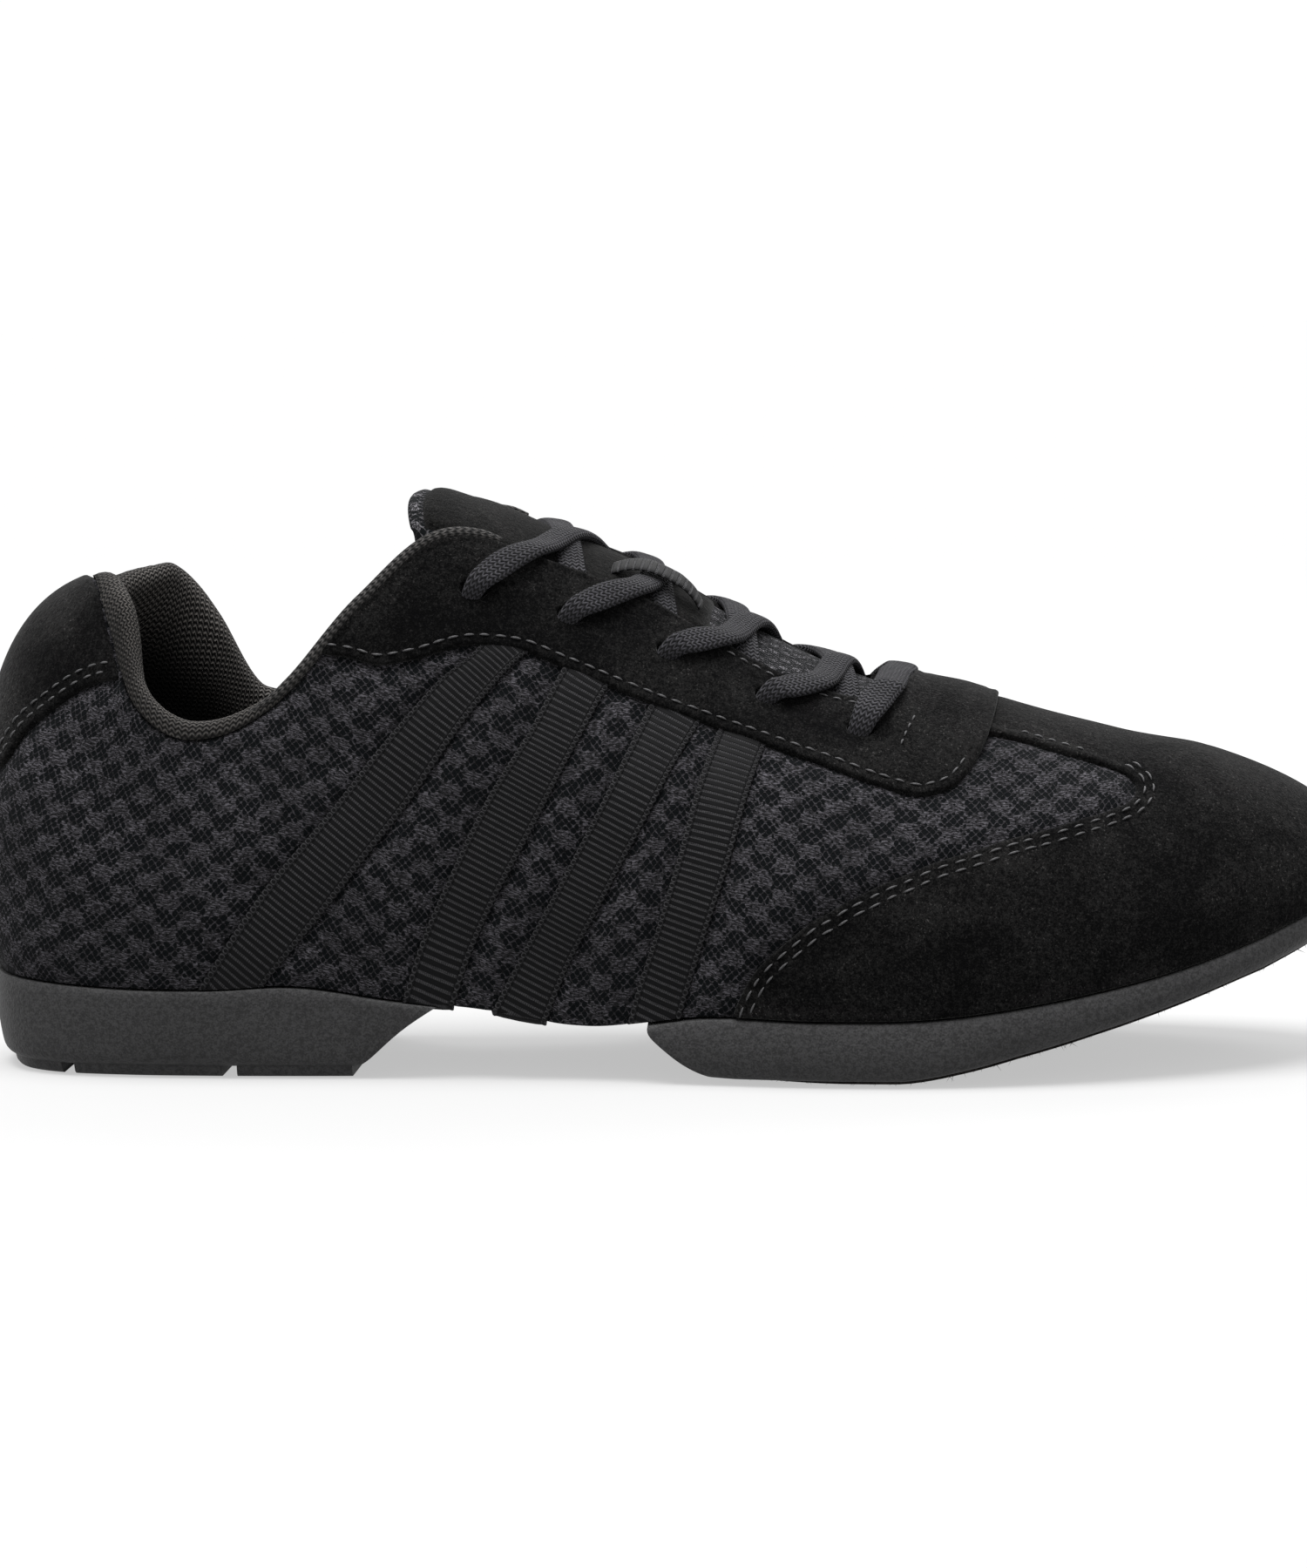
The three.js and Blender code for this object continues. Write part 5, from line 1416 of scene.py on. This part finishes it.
def heel():
    HEEL_FLOOR, BREAST = 2.2, (75, 91)
    uT, uB = float(u_at_x(BREAST[1])), float(u_at_x(BREAST[0]))
    pr = profile(HEEL_LEVELS, 25)
    st = np.r_[np.linspace(0, .2, 26) ** 1.0, np.linspace(.2, 1, 60)[1:]]
    b = Build()
    sides = []
    for side in (L, M):
        G = []
        for f, out in pr:
            ff = min(max(f, 0), 1)
            # the breast leans back and is a little hollow
            lean = ff ** 0.75 - 0.10 * math.sin(math.pi * ff)
            u = st * (uB + (uT - uB) * lean)
            G.append(sole_points(u, side, f, out, lambda x: np.full_like(x, HEEL_FLOOR)))
        sides.append(np.stack(G, 1))
    solid_from_sides(b, sides[0], sides[1])
    ob_p = b
    for x0, x1 in ((0.5, 15.5), (18.5, 48.5), (51.5, 74.0)):
        u0, u1 = (0.0 if x0 < 1.5 else float(u_at_x(x0))), float(u_at_x(x1))
        t = np.linspace(0, 1, 40)
        u = u0 + (u1 - u0) * (t * t * .6 + t * .4 if u0 == 0 else t)
        two = []
        for side in (L, M):
            G = []
            for out, z in ((-2.0, HEEL_FLOOR + .8), (-2.3, 1.6), (-2.6, .55), (-2.95, .12), (-3.4, 0.0)):
                B, n = foot(u, side), outward(u, side)
                G.append(np.stack([B[:, 0] + n[:, 0] * out, B[:, 1] + n[:, 1] * out, np.full(len(u), z)], -1))
            two.append(np.stack(G, 1))
        solid_from_sides(b, two[0], two[1], across=5)
    return b.done("heel_sole", [RUBBER], slot="sole_rubber", replaces=["heel_unit"], weld=2e-5, sharp=50)


PAD_SEEN = 0.85     # thickness of the pad below the rubber


def pad_under(x):
    return np.maximum(table(SPRING, x), 0.0)


def forefoot():
    pr = profile(FORE_LEVELS, 33)
    st = 1 - (1 - np.linspace(0, 1, 130)) ** 1.12
    b = Build()
    sides = []
    for side in (L, M):
        fB, fT = (float(u_at_x(143.6)), float(u_at_x(131.9))) if side < 0 else (float(u_at_x(140)), float(u_at_x(128.6)))
        G = []
        for f, out in pr:
            ff = min(max(f, 0), 1)
            u0 = fT + (fB - fT) * (1 - ff) ** 3.4
            u = u0 + (U_END - u0) * st
            G.append(sole_points(u, side, f, out, lambda x: pad_under(x) + PAD_SEEN))
        sides.append(np.stack(G, 1))
    solid_from_sides(b, sides[0], sides[1], across=11)
    return b.done("forefoot_sole", [RUBBER], slot="sole_rubber", replaces=["forefoot_unit"], weld=2e-5, sharp=50)


def outsole_pad():
    b = Build()
    st = np.linspace(0, 1, 90)
    u = float(u_at_x(141)) + (16.85 - float(u_at_x(141))) * (1 - (1 - st) ** 1.1)
    end = np.minimum(1, np.sin(np.pi * np.clip(st * 3.2, 0, .5)) * .25 + .75)
    two = []
    for side in (L, M):
        B, n, c = foot(u, side), outward(u, side), foot(u, -side)
        a = B[:, :2] - n * 3.9
        q = a * (1 - (1 - end) / 2)[:, None] + c[:, :2] * ((1 - end) / 2)[:, None]
        z = pad_under(q[:, 0])
        G = [np.c_[q, z + PAD_SEEN + .1], np.c_[q, z + PAD_SEEN * .5], np.c_[q, z + .12]]
        inn = unit(np.c_[c[:, :2] - B[:, :2], np.zeros(len(u))] + 1e-9)
        G.append(np.c_[q, z] + inn * .5)
        two.append(np.stack(G, 1))
    solid_from_sides(b, two[0], two[1], across=12)
    ob = b.done("outsole_suede_pad", [PAD_SUEDE], slot="outsole_suede", replaces=["outsole_pad"], weld=2e-5, sharp=60)
    # loose fibres of the cut edge
    rng = np.random.default_rng(7)
    h = Build()
    for side, G in ((L, two[0]), (M, two[1])):
        e = G[:, 1]
        d = np.r_[0, np.cumsum(np.linalg.norm(np.diff(e, axis=0), axis=1))]
        for s in np.arange(2, d[-1] - 1, 0.34):
            if rng.random() < 0.35:
                continue
            p = np.array([np.interp(s, d, e[:, i]) for i in range(3)])
            ln = 0.7 + 2.1 * rng.random() ** 2.2
            dr = unit(np.array([rng.normal(0, .55), side * (0.8 + rng.random() * .5), rng.normal(-.25, .35)]))
            q = p + dr * ln
            q[2] = max(q[2], 0.03)
            r = 0.05 + 0.05 * rng.random()
            p0 = p - dr * .3 + np.array([0, 0, rng.uniform(-.3, .3)])
            p0[2] = max(p0[2], 0.12)
            side_v = unit(np.cross(dr, [0, 0, 1.0]))
            up_v = np.cross(side_v, dr)
            tri = [p0 + side_v * r, p0 - side_v * r * .5 + up_v * r, p0 - side_v * r * .5 - up_v * r]
            h.add(np.array(tri + [q]), [(0, 1, 3), (1, 2, 3), (2, 0, 3), (2, 1, 0)])
    h.done("outsole_fibres", [PAD_SUEDE], slot="outsole_suede")
    return ob


# ------------------------------------------------------------------ build all
upper_shell()
eyestay()
toe_suede()
heel_tab()
collar_lining()
piping()
insole()
_, _, TONGUE_TOP, TONGUE_N, _ = tongue()
ribbons()
stitches()
laces(TONGUE_TOP)
lace_keeper(TONGUE_TOP, TONGUE_N)
heel()
forefoot()
outsole_pad()


# ------------------------------------------------------------------ studio
def studio():
    me = bpy.data.meshes.new("floor")
    me.from_pydata([(-6, -6, 0), (6, -6, 0), (6, 6, 0), (-6, 6, 0)], [], [(0, 1, 2, 3)])
    fl = bpy.data.objects.new("floor", me)
    bpy.context.scene.collection.objects.link(fl)
    k = Nodes("studio_floor")
    k.set(Base_Color=(.163, .163, .163, 1), Roughness=0.9, Specular_IOR_Level=0.0, Emission_Color=(1, 1, 1, 1), Emission_Strength=0.50)
    me.materials.append(k.m)
    fl.location = (0, 0, -0.0002)
    w = bpy.data.worlds.new("studio")
    w.use_nodes = True
    bg = next(n for n in w.node_tree.nodes if n.type == "BACKGROUND")
    bg.inputs[0].default_value = (1, 1, 1, 1)
    bg.inputs[1].default_value = 1.02
    bpy.context.scene.world = w

    def area(name, loc, target, size, power, color=(1, 1, 1)):
        li = bpy.data.lights.new(name, "AREA")
        li.shape = "RECTANGLE"
        li.size, li.size_y, li.energy, li.color = size[0], size[1], power, color
        ob = bpy.data.objects.new(name, li)
        ob.location = loc
        ob.rotation_mode = "QUATERNION"
        ob.rotation_quaternion = (Vector(target) - Vector(loc)).to_track_quat("-Z", "Y")
        bpy.context.scene.collection.objects.link(ob)

    sun = bpy.data.lights.new("key", "SUN")
    sun.energy, sun.angle = 6.6, math.radians(44)
    ob = bpy.data.objects.new("key", sun)
    ob.rotation_mode = "QUATERNION"
    ob.rotation_quaternion = Vector((0.10, 0.14, -0.98)).to_track_quat("-Z", "Y")
    bpy.context.scene.collection.objects.link(ob)
    area("rim", (0.15, 0.75, 0.75), (0, 0, .06), (1.0, 0.35), 7)
    sc = bpy.context.scene
    sc.view_settings.view_transform = "Standard"
    sc.view_settings.look = "None"
    sc.view_settings.exposure = 0
    sc.view_settings.gamma = 1


studio()

# ------------------------------------------------------------------ camera: the photograph's angle
AZ, EL, ROLL, DIST = math.radians(4.5), math.radians(6.0), math.radians(0.8), 1.100
target = Vector((-.0028, .00065, .0532))
back = Vector((math.sin(AZ) * math.cos(EL), -math.cos(AZ) * math.cos(EL), math.sin(EL)))
right0 = (-back).cross(Vector((0, 0, 1))).normalized()
up0 = right0.cross(-back)
right = right0 * math.cos(ROLL) - up0 * math.sin(ROLL)
up = right0 * math.sin(ROLL) + up0 * math.cos(ROLL)
cam = bpy.data.cameras.new("camera")
cam.sensor_width, cam.sensor_fit = 36.0, "AUTO"
cam.lens = 5.877 * 1100 / 1800 * 36.0
cam.clip_start, cam.clip_end = 0.05, 50
co = bpy.data.objects.new("camera", cam)
bpy.context.scene.collection.objects.link(co)
co.matrix_world = Matrix.Translation(target + back * DIST) @ Matrix((right, up, back)).transposed().to_4x4()
bpy.context.scene.camera = co
